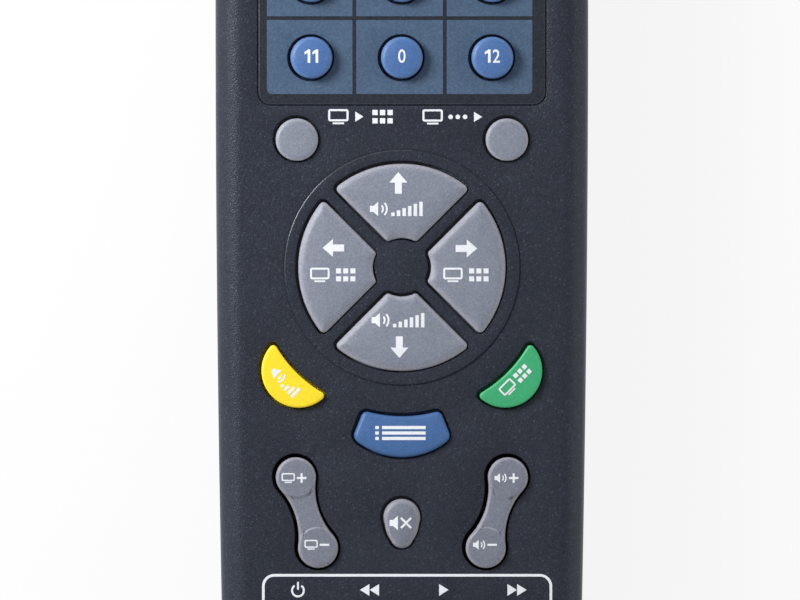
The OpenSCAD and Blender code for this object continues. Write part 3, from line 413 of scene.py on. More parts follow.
def combine(name, mesh, tools, operation, overlapping=False):
    """The mesh joined with, cut by or limited to the closed patches in tools, by an exact Boolean."""
    base = bpy.data.objects.new(name, mesh)
    tool = bpy.data.objects.new(name + "_tool", mesh_of(name + "_tool", tools))
    for thing in (base, tool):
        bpy.context.scene.collection.objects.link(thing)
    change = base.modifiers.new("combine", "BOOLEAN")
    change.operation = operation
    change.object = tool
    change.solver = "EXACT"
    change.use_self = overlapping
    bpy.context.view_layer.update()
    result = bpy.data.meshes.new_from_object(base.evaluated_get(bpy.context.evaluated_depsgraph_get()))
    result.name = name
    for thing in (base, tool):
        bpy.data.objects.remove(thing, do_unlink=True)
    if len(result.polygons) == 0:
        raise RuntimeError(f"{name}: the shapes could not be combined")
    return result


# Key outlines, as signed distances that are negative inside

def round_meet(a, b, r):
    """Distance to the overlap of two shapes, with the corner where they meet rounded to the radius r."""
    return np.minimum(np.maximum(a, b), -r) + np.hypot(np.maximum(a + r, 0), np.maximum(b + r, 0))


def turned_axes(x, y, at, angle):
    """Places measured along and across an axis that leaves the point at under an angle."""
    dx, dy = x - at[0], y - at[1]
    return np.cos(angle) * dx + np.sin(angle) * dy, np.cos(angle) * dy - np.sin(angle) * dx


def arrow_key_edge(keys, at, angle):
    """Quarter ring: inside the outer circle, outside the hub, between two bars at 45 degrees."""
    def distance(x, y):
        along, across = turned_axes(x, y, at, angle)
        reach = np.hypot(along, across)
        bars = (np.abs(across) - along) / np.sqrt(2) + keys.nav_bar / 2
        sector = round_meet(reach - keys.nav, bars, keys.corner)
        return round_meet(sector, keys.nav_hub - reach, keys.bite_corner)
    return distance


def crescent_edge(keys, at, angle):
    """Circle on the axis, less a large circle that leaves the hollow edge."""
    def distance(x, y):
        along, across = turned_axes(x, y, at, angle)
        disc = np.hypot(along - keys.crescent_d, across) - keys.crescent
        hollow = keys.hollow - np.hypot(along - keys.hollow_d, across)
        return round_meet(disc, hollow, keys.corner)
    return distance


def menu_edge(keys, at):
    """Hollow arc above, bulging arc below and slanted sides."""
    hollow_y = at[1] - keys.hollow_d
    top_y = hollow_y - keys.hollow
    side_y = hollow_y - np.sqrt(keys.hollow ** 2 - keys.menu_top_w ** 2)
    slant = np.array([keys.menu_side, keys.menu_w - keys.menu_top_w])
    slant = slant / np.hypot(*slant)

    def distance(x, y):
        hollow = keys.hollow - np.hypot(x, y - hollow_y)
        bulge = np.hypot(x, y - (top_y - keys.menu_depth + keys.menu)) - keys.menu
        side = (np.abs(x) - keys.menu_top_w) * slant[0] + (y - side_y) * slant[1]
        side = np.maximum(side, np.abs(x) - keys.menu_w)
        return round_meet(round_meet(hollow, side, keys.corner), bulge, keys.corner)
    return distance


def rocker_edge(keys, at, angle):
    """Dumb-bell: round ends, and a waist hollowed by circles that touch both of them."""
    reach, end, waist = keys.rocker_reach, keys.rocker, keys.rocker_waist
    hollow = (reach ** 2 + waist ** 2 - end ** 2) / (2 * (end - waist))

    def distance(x, y):
        u, v = turned_axes(x, y, at, angle)
        u, v = np.abs(u), np.abs(v)
        neck = hollow - np.hypot(u - waist - hollow, v)
        ends = np.hypot(u, v - reach) - end
        beside_neck = reach * (waist + hollow - u) > (waist + hollow) * v
        return np.where(beside_neck, neck, ends)
    return distance


def egg_edge(keys, at):
    """Two circles of different radius, and the lines that touch both, bowed outwards in between."""
    lean = (keys.mute - keys.mute_tip) / keys.mute_l
    side = np.sqrt(1 - lean ** 2)

    def distance(x, y):
        u, v = np.abs(x - at[0]), at[1] - y
        along = side * v - lean * u
        wide = np.hypot(u, v) - keys.mute
        tip = np.hypot(u, v - keys.mute_l) - keys.mute_tip
        swell = keys.mute_swell * np.sin(np.pi * np.clip(along / (side * keys.mute_l), 0, 1))
        flank = side * u + lean * v - keys.mute - swell
        return np.where(along < 0, wide, np.where(along > side * keys.mute_l, tip, flank))
    return distance


def oval_edge(at, length, width):
    """Every point half a width from a middle line."""
    def distance(x, y):
        return np.hypot(np.maximum(np.abs(x - at[0]) - (length - width) / 2, 0), y - at[1]) - width / 2
    return distance


class Outline:
    """A key's edge from above: its distance, a point that sees all of it, and rays at even steps along it."""

    FINE = 1440
    FURTHEST = 20 * MM
    HALVINGS = 44

    def __init__(self, distance, eye, count=112):
        self.distance, self.eye = distance, np.asarray(eye, float)
        fine = np.linspace(0, 2 * np.pi, self.FINE, endpoint=False)
        points = self.meet(fine, 0)
        steps = np.hypot(*(np.roll(points, -1, axis=0) - points).T)
        travelled = np.concatenate([[0], np.cumsum(steps)])
        wanted = np.arange(count) / count * travelled[-1]
        self.angles = np.interp(wanted, travelled, np.append(fine, 2 * np.pi))

    def meet(self, angles, level):
        """Points where the rays reach a level of the distance, by halving the interval."""
        way = unit(angles)
        low, high = np.zeros(len(angles)), np.full(len(angles), self.FURTHEST)
        for _ in range(self.HALVINGS):
            mid = (low + high) / 2
            points = self.eye + mid[:, None] * way
            outside = self.distance(points[:, 0], points[:, 1]) > level
            low, high = np.where(outside, low, mid), np.where(outside, mid, high)
        return self.eye + ((low + high) / 2)[:, None] * way

    def ring(self, level):
        """The edge moved outwards by level."""
        return self.meet(self.angles, level)


def nav_centre():
    """Middle of the arrow keys."""
    return np.mean([centre(node) for node in NAV_KEYS], axis=0)


def key_outline(node):
    """The outline of a key by its node's name."""
    keys = bpy.context.scene.remote_keys
    at = centre(node)
    if node in NAV_KEYS:
        angle = np.radians(NAV_KEYS[node])
        eye = nav_centre() + (keys.nav + keys.nav_hub) / 2 * unit(angle)
        return Outline(arrow_key_edge(keys, nav_centre(), angle), eye, 168)
    if node in CRESCENTS:
        angle = np.radians(CRESCENTS[node])
        eye = nav_centre() + (keys.crescent_d + keys.crescent / 2) * unit(angle)
        return Outline(crescent_edge(keys, nav_centre(), angle), eye, 128)
    if node in ROCKERS:
        return Outline(rocker_edge(keys, at, -ROCKERS[node] * keys.rocker_lean), at, 320)
    if node == "menu_key":
        eye = nav_centre() - [0, keys.hollow_d + keys.hollow + keys.menu_depth / 2]
        return Outline(menu_edge(keys, nav_centre()), eye, 144)
    if node == "mute_key":
        wide = np.array([at[0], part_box(node)[1].y - keys.flange - keys.mute])
        return Outline(egg_edge(keys, wide), wide - [0, keys.mute_l / 4])
    if node in DEVICE_KEYS:
        return Outline(oval_edge(at, keys.device_l, keys.device_w), at)
    low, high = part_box(node)
    width = high.x - low.x - 2 * keys.flange
    return Outline(oval_edge(at, width, width), at, 72)


def hole_gap(node):
    """Gap round a key in its hole."""
    keys = bpy.context.scene.remote_keys
    return keys.rocker_gap if node in ROCKERS else keys.gap


def key_form(node):
    """How a key's top is shaped: width and height of its rounded edge, and the crown with its reach."""
    for nodes, form in KEY_FORMS:
        if node in nodes:
            return [length * MM for length in form]
    return [length * MM for length in FLAT_KEY_FORM]


def key_dip(node, outline):
    """Depth of a key's top below its highest level: a crown falling towards the edge, and a rocker's neck."""
    keys = bpy.context.scene.remote_keys
    crown, reach = key_form(node)[2:]
    at, pad, slope = centre(node), 0.98 * keys.rocker, 0.22 * MM

    def dip(x, y):
        depth = crown * (1 - np.clip(-outline.distance(x, y) / reach, 0, 1)) ** 2
        if node in ROCKERS:
            along = turned_axes(x, y, at, -ROCKERS[node] * keys.rocker_lean)
            away = np.hypot(along[0], np.abs(along[1]) - keys.rocker_reach) - pad
            step = np.clip(away / slope, 0, 1)
            depth = depth + keys.rocker_dip * step ** 2 * (3 - 2 * step)
        return depth
    return dip


def key_mesh(node):
    """Key as one closed skin: foot, flange, straight side, rounded edge and crowned top, ring by ring."""
    case, keys = bpy.context.scene.remote_case, bpy.context.scene.remote_keys
    outline = key_outline(node)
    dip = key_dip(node, outline)
    low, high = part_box(node)
    edge_w, edge_h = key_form(node)[:2]
    flange_high = case.top_face - case.wall - keys.flange_gap
    flange_low = flange_high - keys.flange_t
    foot = keys.foot * unit(outline.angles)
    eye = np.repeat(outline.eye[None], len(outline.angles), axis=0)
    if node in ROCKERS:
        rings = [at_height(eye, flange_low), at_height(outline.ring(0), flange_low)]
    else:
        rim = outline.ring(keys.flange)
        rings = [
            at_height(eye, low.z), at_height(eye + foot, low.z), at_height(eye + foot, flange_low),
            at_height(rim, flange_low), at_height(rim, flange_high), at_height(outline.ring(0), flange_high),
        ]
    edge_steps, top_steps = 9, 73 if node in ROCKERS else 17
    for angle in np.linspace(0, np.pi / 2, edge_steps):
        loop = outline.ring(-edge_w * (1 - np.cos(angle)))
        rings.append(at_height(loop, high.z - edge_h * (1 - np.sin(angle)) - dip(*loop.T)))
    inner = outline.ring(-edge_w) - outline.eye
    for share in np.linspace(1, 0, top_steps)[1:]:
        loop = outline.eye + share * inner
        rings.append(at_height(loop, high.z - dip(*loop.T)))
    patches = [sleeve(np.array(rings))]
    if node in ROCKERS:
        patches += rocker_underside(node, low.z, flange_low)
    return mesh_of(node, patches)


def rocker_underside(node, low, base):
    """Pivot lugs as one rod across the waist, and a contact foot under each end."""
    case, keys = bpy.context.scene.remote_case, bpy.context.scene.remote_keys
    at, angle = centre(node), -ROCKERS[node] * keys.rocker_lean
    across, along = unit(angle), np.array([-np.sin(angle), np.cos(angle)])
    lug, reach, foot_r, foot_sink = 0.5 * MM, keys.rocker_waist + 1.1 * MM, 1.5 * MM, 0.4 * MM
    level = case.top_face - case.wall - keys.flange_gap - lug
    points, faces = turned(post(lug, -reach, reach), (0, 0), 24)
    rod = np.column_stack([at + points[:, 2:] * across + points[:, :1] * along, level + points[:, 1]])
    foot = post(foot_r, low, base + foot_sink)
    feet = [turned(foot, at + way * keys.rocker_reach * along, 32) for way in (-1, 1)]
    return [(rod, faces, 1)] + feet


# Case outline

def case_path(case):
    """Outline of the case from above, anticlockwise: bowed long sides, elliptical corners, straight ends."""
    half = case.length / 2

    def side(y):
        return case.width / 2 - (y - case.widest) ** 2 / (2 * case.bow)

    def corner(end, length, width, angle):
        y = end * (half - length * (1 - np.sin(angle)))
        return np.column_stack([side(y) - width * (1 - np.cos(angle)), y])
    sweep = np.linspace(0, np.pi / 2, 40)
    tail = corner(-1, case.tail_corner_l, case.tail_corner_w, sweep[::-1])
    lens = corner(1, case.lens_corner_l, case.lens_corner_w, sweep)
    y = np.linspace(tail[-1, 1], lens[0, 1], 66)[1:-1]
    right = np.concatenate([tail, np.column_stack([side(y), y]), lens])
    left = right[::-1] * [-1, 1]
    lens_x = np.linspace(right[-1, 0], left[0, 0], 14)[1:-1]
    tail_x = np.linspace(left[-1, 0], right[0, 0], 10)[1:-1]
    lens_end = np.column_stack([lens_x, np.full(len(lens_x), half)])
    tail_end = np.column_stack([tail_x, np.full(len(tail_x), -half)])
    return np.concatenate([right, lens_end, left, tail_end])


def inset(path, depth):
    """A closed path moved inwards so that each of its edges shifts by depth."""
    before, after = path - np.roll(path, 1, axis=0), np.roll(path, -1, axis=0) - path
    before /= np.hypot(*before.T)[:, None]
    after /= np.hypot(*after.T)[:, None]
    middle = before + after
    middle /= np.hypot(*middle.T)[:, None]
    across = np.column_stack([-middle[:, 1], middle[:, 0]])
    return path + depth / (middle * before).sum(axis=1, keepdims=True) * across


def case_rings(path, rows):
    """Rings of the case, each an inset of its outline at a height."""
    return np.array([at_height(inset(path, depth), z) for depth, z in rows])


def quarter(inset_from, z, r, up, count=14):
    """Rows of a rounded edge of radius r: over the top where up is true, else under the back."""
    angle = np.linspace(0, np.pi / 2, count)
    if up:
        return np.column_stack([inset_from + r * (1 - np.cos(angle)), z - r * (1 - np.sin(angle))])
    return np.column_stack([inset_from + r * (1 - np.sin(angle)), z + r * (1 - np.cos(angle))])


def seam_rows(case, way):
    """Rows of the groove along the parting line, from the outside inwards; above the line where way is 1."""
    rows = np.array([(0, 1), (0.4, 0.4), (1, 0)]) * case.seam
    return rows * [1, way] + [0, case.parting]


def lower_outside(case):
    """Rows of the lower shell's outside, from the back up to the parting line."""
    return np.concatenate([quarter(0, 0, case.back_edge, False), seam_rows(case, -1)])


def disc_rings(case):
    """Rings of the raised disc round the arrow keys: a fine ditch, then an edge rounded up to its top."""
    top, edge, ditch = case.top_face, 0.2 * MM, 0.03 * MM
    bank, bottom = case.disc + 0.1 * MM, case.disc + 0.07 * MM
    rows = [(bank, top), (bottom, top - ditch), (case.disc, top - ditch)]
    lean = np.linspace(0, np.pi / 2, 7)
    rows += zip(case.disc - edge * (1 - np.cos(lean)), top + case.disc_rise * np.sin(lean))
    return np.array([at_height(nav_centre() + r * circle(192), z) for r, z in rows])


def rounded_box(low, high, radii, steps=8):
    """Rectangle from low to high with a radius for each corner, anticlockwise from the lower left."""
    corners = [(low[0], low[1], 180), (high[0], low[1], 270), (high[0], high[1], 0), (low[0], high[1], 90)]
    signs = [(1, 1), (-1, 1), (-1, -1), (1, -1)]
    sweep = np.linspace(0, np.pi / 2, steps)
    parts = []
    for (x, y, start), (sx, sy), r in zip(corners, signs, radii):
        angle = np.radians(start) + sweep
        parts.append(np.column_stack([x + sx * r + r * np.cos(angle), y + sy * r + r * np.sin(angle)]))
    return np.concatenate(parts)


def panel_loop(case, grow):
    """Outline of the number panel, grown by a gap."""
    low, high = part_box("number_panel")
    r = case.panel_edge + grow
    return rounded_box((low.x - grow, low.y - grow), (high.x + grow, high.y + grow), [r] * 4, 12)


def recess_rings(case, floor):
    """Rings of the number panel's recess: a softened upper edge, then a wall down to its floor."""
    lip, top = 0.12 * MM, case.top_face
    rows = [(lip, top), (0.3 * lip, top - 0.3 * lip), (0, top - lip), (0, floor)]
    return np.array([at_height(panel_loop(case, case.panel_gap + grow), z) for grow, z in rows])


def lipped_hole(outline, gap, lip, top, bottom, shift=(0, 0)):
    """Wall of a hole with a rounded upper edge, from the top face down, moved sideways by shift."""
    rows = [(gap + lip * (1 - np.sin(a)), top - lip * (1 - np.cos(a))) for a in np.linspace(0, np.pi / 2, 5)]
    rows.append((gap, bottom))
    return np.array([at_height(outline.ring(level) + shift, z) for level, z in rows])


def window_opening(case):
    """Corners of the cut in both shells that the infrared window fills."""
    low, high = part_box("ir_window")
    rim, gap, past = 0.8 * MM, 0.1 * MM, 0.5 * MM
    return (
        (low.x + rim - gap, case.length / 2 - case.wall - past, low.z + rim - gap),
        (high.x - rim + gap, case.length, high.z - rim + gap),
    )


def screw_places():
    """Middles of the four case screws, from the corners of their common box."""
    low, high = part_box("case_screws")
    head = 2.3 * MM
    return [np.array([x, y]) for x in (low.x + head, high.x - head) for y in (low.y + head, high.y - head)]


# Finishes

def node_maker(tree):
    """A maker of nodes in a tree, which links or sets their sockets."""
    def add(kind, links=(), **values):
        node = tree.nodes.new(kind)
        for key, value in values.items():
            setattr(node, key, value)
        for socket, source in dict(links).items():
            if isinstance(source, bpy.types.NodeSocket):
                tree.links.new(source, node.inputs[socket])
            else:
                node.inputs[socket].default_value = source
        return node
    return add


def finish_nodes(name):
    """A new material with its tree and shader, and a maker of linked nodes."""
    finish = bpy.data.materials.new(name)
    finish.use_nodes = True
    tree = finish.node_tree
    return finish, tree, tree.nodes["Principled BSDF"], node_maker(tree)


def scaled(colour, share):
    """A colour times a share, with full opacity."""
    return (*(min(channel * share, 1) for channel in colour), 1)


def moulded(
    name, colour, roughness=0.5, grain=0.26, depth=0.02, mottle=0.12, cloud=0.04, speck=0.0, specular=0.5,
    rim=(1, 1, 1), rim_roughness=None, rim_from=0.97, rim_to=0.75, sheen=(1, 1, 1),
):
    """Moulded plastic or rubber: small pebbles in relief, each with its own tone and gloss, faint clouds and
    specks. Where the surface leans away from the level its colour is multiplied by rim and its gloss changes;
    rim paints light and shade on the edges: above one it is a painted highlight, below one painted shade.
    Sheen is the colour of the gloss. Grain and depth are in millimetres."""
    cloud_size, uneven = 6 * MM, 0.12
    finish, tree, shader, add = finish_nodes(name)
    coordinates = add("ShaderNodeTexCoord")
    place = coordinates.outputs["Object"]
    pebbles = add("ShaderNodeTexVoronoi", {"Vector": place, "Scale": 1 / (grain * MM)}, feature="F1")
    chance = add("ShaderNodeSeparateColor", {"Color": pebbles.outputs["Color"]})
    broad = add("ShaderNodeTexNoise", {"Vector": place, "Scale": 1 / cloud_size, "Detail": 3.0})
    ramp = add("ShaderNodeValToRGB", {"Fac": chance.outputs["Red"]})
    ramp.color_ramp.elements[0].position = 0.0
    ramp.color_ramp.elements[0].color = scaled(colour, 1 - mottle)
    ramp.color_ramp.elements[1].position = 0.95
    ramp.color_ramp.elements[1].color = scaled(colour, 1 + mottle)
    if speck:
        bright = ramp.color_ramp.elements.new(0.985)
        bright.color = scaled(colour, 1 + speck)
    tone = add("ShaderNodeMapRange", {
        "Value": broad.outputs["Fac"], "From Min": 0.3, "From Max": 0.7,
        "To Min": 1 - cloud, "To Max": 1 + cloud,
    })
    shade = add("ShaderNodeMix", {"Factor": 1.0}, data_type="RGBA", blend_type="MULTIPLY")
    tree.links.new(ramp.outputs["Color"], shade.inputs["A"])
    tree.links.new(tone.outputs["Result"], shade.inputs["B"])
    way = add("ShaderNodeSeparateXYZ", {"Vector": coordinates.outputs["Normal"]})
    leaning = add("ShaderNodeMapRange", {"Value": way.outputs["Z"], "From Min": rim_from, "From Max": rim_to})
    # Painted light and shade: the colour is multiplied by rim where the surface leans away from the level.
    edge = add("ShaderNodeMix", data_type="RGBA", blend_type="MULTIPLY")
    edge.inputs["B"].default_value = (*rim, 1)
    tree.links.new(leaning.outputs["Result"], edge.inputs["Factor"])
    tree.links.new(shade.outputs["Result"], edge.inputs["A"])
    tree.links.new(edge.outputs["Result"], shader.inputs["Base Color"])
    gloss = add("ShaderNodeMapRange", {
        "Value": chance.outputs["Green"], "To Min": roughness - uneven, "To Max": roughness + uneven,
    })
    matt = add("ShaderNodeMix", data_type="FLOAT")
    matt.inputs["B"].default_value = roughness if rim_roughness is None else rim_roughness
    tree.links.new(leaning.outputs["Result"], matt.inputs["Factor"])
    tree.links.new(gloss.outputs["Result"], matt.inputs["A"])
    tree.links.new(matt.outputs["Result"], shader.inputs["Roughness"])
    bumps = {"Height": pebbles.outputs["Distance"], "Strength": 1.0, "Distance": depth * MM}
    relief = add("ShaderNodeBump", bumps, invert=True)
    tree.links.new(relief.outputs["Normal"], shader.inputs["Normal"])
    shader.inputs["Specular IOR Level"].default_value = specular
    shader.inputs["Specular Tint"].default_value = (*sheen, 1)
    return finish


def toned(nodes, fac, colour, tones, gloss, strength, depth):
    """Colour, gloss and relief of a finish that all follow one noise."""
    tree, shader, add = nodes
    ramp = add("ShaderNodeValToRGB", {"Fac": fac})
    for element, tone in zip(ramp.color_ramp.elements, tones):
        element.color = scaled(colour, tone)
    tree.links.new(ramp.outputs["Color"], shader.inputs["Base Color"])
    rough = add("ShaderNodeMapRange", {"Value": fac, "To Min": gloss[0], "To Max": gloss[1]})
    tree.links.new(rough.outputs["Result"], shader.inputs["Roughness"])
    relief = add("ShaderNodeBump", {"Height": fac, "Strength": strength, "Distance": depth})
    tree.links.new(relief.outputs["Normal"], shader.inputs["Normal"])


def metal(name, colour, roughness):
    """Bare metal with fine scratches along X and uneven gloss."""
    finish, tree, shader, add = finish_nodes(name)
    place = add("ShaderNodeTexCoord").outputs["Object"]
    drawn = add("ShaderNodeMapping", {"Vector": place, "Scale": (300, 6000, 6000)})
    fine = add("ShaderNodeTexNoise", {"Vector": drawn.outputs["Vector"], "Scale": 1.0, "Detail": 3.0})
    gloss = (roughness - 0.1, roughness + 0.12)
    toned((tree, shader, add), fine.outputs["Fac"], colour, (0.8, 1.1), gloss, 0.5, 0.006 * MM)
    shader.inputs["Metallic"].default_value = 1.0
    return finish


def glassy(name, colour, roughness, through=0.0):
    """Glossy tinted plastic with faint ripples and dust in its gloss."""
    finish, tree, shader, add = finish_nodes(name)
    place = add("ShaderNodeTexCoord").outputs["Object"]
    broad = add("ShaderNodeTexNoise", {"Vector": place, "Scale": 1 / (5 * MM), "Detail": 4.0})
    gloss = (roughness - 0.03, roughness + 0.08)
    toned((tree, shader, add), broad.outputs["Fac"], colour, (0.85, 1.15), gloss, 0.2, 0.02 * MM)
    shader.inputs["Transmission Weight"].default_value = through
    return finish


# What each finish is made of; a colour in words is the tint of that name

# Key rubbers: a rim above one lightens the rounded edge of each key, a painted highlight.
KEY_RUBBER = {
    "roughness": 0.42, "grain": 0.18, "depth": 0.01, "mottle": 0.1, "cloud": 0.03, "speck": 0.2,
    "specular": 0.45, "rim": (1.2, 1.15, 1.1), "rim_roughness": 0.5,
}
MOULDED = {
    # The case's rim below one darkens its rounded edges and sides: painted shade.
    "case_plastic": {
        "colour": "case", "roughness": 0.39, "grain": 0.2, "depth": 0.042, "mottle": 0.22, "cloud": 0.05,
        "speck": 1.0, "specular": 0.23, "rim": (0.8, 0.85, 0.93), "rim_roughness": 0.55, "rim_from": 0.85,
        "rim_to": 0.5, "sheen": (0.78, 0.9, 1),
    },
    # A glossier copy of the case plastic for edges, without the case's painted edge shade; on the disc it
    # goes only on the side facing the key lamp.
    "worn_edge": {
        "colour": "case", "roughness": 0.24, "grain": 0.3, "depth": 0.012, "mottle": 0.3, "cloud": 0.1,
        "speck": 0.4, "specular": 0.8,
    },
    "panel_border": {
        "colour": "border", "roughness": 0.42, "grain": 0.21, "depth": 0.01, "mottle": 0.2, "cloud": 0.04,
        "speck": 0.5, "specular": 0.35,
    },
    "panel_cells": {
        "colour": "cells", "roughness": 0.45, "grain": 0.21, "depth": 0.01, "mottle": 0.15, "cloud": 0.03,
        "speck": 0.25, "specular": 0.35,
    },
    # Grey, rocker and blue keys get a stronger painted highlight on their rounded edges; the menu key gets
    # none.
    "grey": {**KEY_RUBBER, "colour": "grey", "mottle": 0.13, "rim": (1.55, 1.45, 1.35)},
    "rocker": {**KEY_RUBBER, "colour": "rocker", "mottle": 0.13, "rim": (1.55, 1.45, 1.35)},
    "blue": {**KEY_RUBBER, "colour": "blue", "rim": (1.5, 1.3, 1.15)},
    "menu": {**KEY_RUBBER, "colour": "menu", "rim": (1, 1, 1)},
    "red": {**KEY_RUBBER, "colour": "red"},
    "green": {**KEY_RUBBER, "colour": "green", "mottle": 0.07},
    "yellow": {**KEY_RUBBER, "colour": "yellow", "mottle": 0.04},
    "ink": {
        "colour": "ink", "roughness": 0.55, "grain": 0.15, "depth": 0.004, "mottle": 0.05, "cloud": 0.03,
        "specular": 0.3,
    },
    "mat": {"colour": "mat", "roughness": 0.65, "grain": 0.3, "mottle": 0.1},
    "board": {"colour": "board", "roughness": 0.35, "grain": 0.6, "depth": 0.01, "cloud": 0.1},
    "chip_black": {
        "colour": (0.012, 0.012, 0.013), "roughness": 0.55, "grain": 0.12, "depth": 0.01, "mottle": 0.15,
    },
    "ceramic": {"colour": (0.55, 0.28, 0.03), "roughness": 0.35, "grain": 0.3, "depth": 0.01, "mottle": 0.1},
    "can_sleeve": {
        "colour": (0.02, 0.03, 0.12), "roughness": 0.3, "grain": 0.4, "depth": 0.004, "mottle": 0.08,
    },
    "cell_sleeve": {
        "colour": (0.03, 0.035, 0.045), "roughness": 0.3, "grain": 0.5, "depth": 0.004, "mottle": 0.06,
    },
    "cell_band": {
        "colour": (0.42, 0.45, 0.5), "roughness": 0.3, "grain": 0.4, "depth": 0.004, "mottle": 0.06,
    },
}
GLASSY = {
    "window": {"colour": "window", "roughness": 0.07},
    "diode_clear": {"colour": (0.18, 0.2, 0.28), "roughness": 0.08, "through": 0.6},
    "diode_red": {"colour": (0.55, 0.02, 0.02), "roughness": 0.1, "through": 0.35},
}
METALS = {
    "nickel": {"colour": (0.62, 0.6, 0.56), "roughness": 0.28},
    "steel": {"colour": (0.42, 0.42, 0.44), "roughness": 0.38},
}


def finish(name):
    """The finish by name, made on first use."""
    if name in bpy.data.materials:
        return bpy.data.materials[name]
    for make, table in ((moulded, MOULDED), (glassy, GLASSY), (metal, METALS)):
        if name in table:
            values = dict(table[name])
            colour = values.pop("colour")
            if isinstance(colour, str):
                colour = getattr(bpy.context.scene.remote_finishes, colour)
            return make(name, colour, **values)
    raise RuntimeError(f"no finish is named {name}")


# Signs, each a list of parts, a part being its outer loop and then its holes, in metres about its own middle

def shape(points):
    """A loop from points in millimetres."""
    return np.array(points, float) * MM


def bar(x0, y0, x1, y1):
    """Upright rectangle."""
    return [shape([(x0, y0), (x1, y0), (x1, y1), (x0, y1)])]


def dot(x, y, r):
    """Disc."""
    return [shape([x, y] + r * circle(28))]


def band(x, y, r, width, start, stop):
    """Part of a ring between two angles in degrees."""
    way = unit(np.radians(np.linspace(start, stop, 24)))
    return [shape(np.concatenate([(r + width / 2) * way, (r - width / 2) * way[::-1]]) + [x, y])]


def hollow_box(x0, y0, x1, y1, line, r):
    """Rectangular ring with rounded corners."""
    outer = rounded_box((x0, y0), (x1, y1), [r] * 4)
    inner = rounded_box((x0 + line, y0 + line), (x1 - line, y1 - line), [max(r - line, 0.05)] * 4)
    return [shape(outer), shape(inner)]


def moved(parts, x, y, size=1.0):
    """Parts scaled about their middle and then moved by millimetres."""
    return [[loop * size + np.array([x, y]) * MM for loop in part] for part in parts]


def turned_sign(parts, angle):
    """Parts turned about their middle."""
    c, s = np.cos(angle), np.sin(angle)
    return [[loop @ np.array([[c, s], [-s, c]]) for loop in part] for part in parts]


def arrow_sign():
    """Arrow that points up, with a broad shaft."""
    shaft, head, neck, tip = 0.48, 1.25, 0.05, 1.5
    right = [(shaft, -tip), (shaft, neck), (head, neck)]
    left = [(-x, y) for x, y in right[::-1]]
    return [[shape([left[-1], *right, (0, tip), *left[:-1]])]]


def speaker_sign():
    """Loudspeaker with two sound waves."""
    horn = [shape([(-1.2, -0.42), (-0.72, -0.42), (-0.05, -1), (-0.05, 1), (-0.72, 0.42), (-1.2, 0.42)])]
    return [horn, band(-0.1, 0, 0.72, 0.26, -42, 42), band(-0.1, 0, 1.25, 0.26, -42, 42)]


def silent_sign():
    """Loudspeaker beside a cross."""
    horn = [shape([(-1.5, -0.42), (-1.02, -0.42), (-0.35, -1), (-0.35, 1), (-1.02, 0.42), (-1.5, 0.42)])]
    arm, tip = 0.6, 0.21
    cross = [
        (tip, 0), (arm + tip, arm), (arm, arm + tip), (0, tip), (-arm, arm + tip), (-arm - tip, arm),
        (-tip, 0), (-arm - tip, -arm), (-arm, -arm - tip), (0, -tip), (arm, -arm - tip), (arm + tip, -arm),
    ]
    return [horn, [shape(cross) + np.array([0.78, 0]) * MM]]


def screen_sign():
    """Screen on a foot."""
    return [hollow_box(-1.35, -0.62, 1.35, 1.0, 0.27, 0.3), bar(-0.75, -1.0, 0.75, -0.76)]


def steps_sign(count=4):
    """Bars that rise from left to right."""
    left, rise = -0.39 * count, 1.5 / (count - 1)
    return [bar(left + 0.78 * i, -1, left + 0.48 + 0.78 * i, -0.5 + rise * i) for i in range(count)]


def pages_sign():
    """Two short rows of squares."""
    return [bar(-1.4 + 1.0 * i, y, -0.7 + 1.0 * i, y + 0.7) for i in range(3) for y in (-0.9, 0.2)]


def list_sign(half):
    """Three lines with a dot in front of each."""
    rows = [(-0.98 + 0.76 * i) for i in range(3)]
    dots = [bar(-half, y, -half + 0.5, y + 0.44) for y in rows]
    return dots + [bar(-half + 0.95, y, half, y + 0.44) for y in rows]


def plus_sign():
    """Plus."""
    a, b = 0.78, 0.17
    points = [(b, -a), (b, -b), (a, -b), (a, b), (b, b), (b, a)]
    return [[shape(points + [(-x, -y) for x, y in points])]]


def minus_sign():
    """Minus."""
    return [bar(-0.78, -0.17, 0.78, 0.17)]


def power_sign():
    """Open ring with an upright stroke in its gap."""
    return [band(0, -0.08, 0.78, 0.26, 125, 415), bar(-0.13, 0.05, 0.13, 1.05)]


def wedge(x, way):
    """Triangle that points along X."""
    points = [(x - 0.5 * way, -0.78), (x + 0.75 * way, 0), (x - 0.5 * way, 0.78)]
    return [shape(points if way > 0 else points[::-1])]


def tape_sign(name):
    """Sign of a tape key."""
    return {
        "tape_power_key": power_sign(),
        "rewind_key": [wedge(0.62, -1), wedge(-0.66, -1)],
        "play_key": [wedge(-0.05, 1)],
        "forward_key": [wedge(-0.62, 1), wedge(0.66, 1)],
        "record_key": [dot(0, 0, 0.75)],
        "stop_key": [bar(-0.7, -0.7, 0.7, 0.7)],
        "pause_key": [bar(-0.7, -0.75, -0.2, 0.75), bar(0.2, -0.75, 0.7, 0.75)],
        "eject_key": [[shape([(-0.85, -0.2), (0.85, -0.2), (0, 0.85)])], bar(-0.85, -0.75, 0.85, -0.42)],
    }[name]


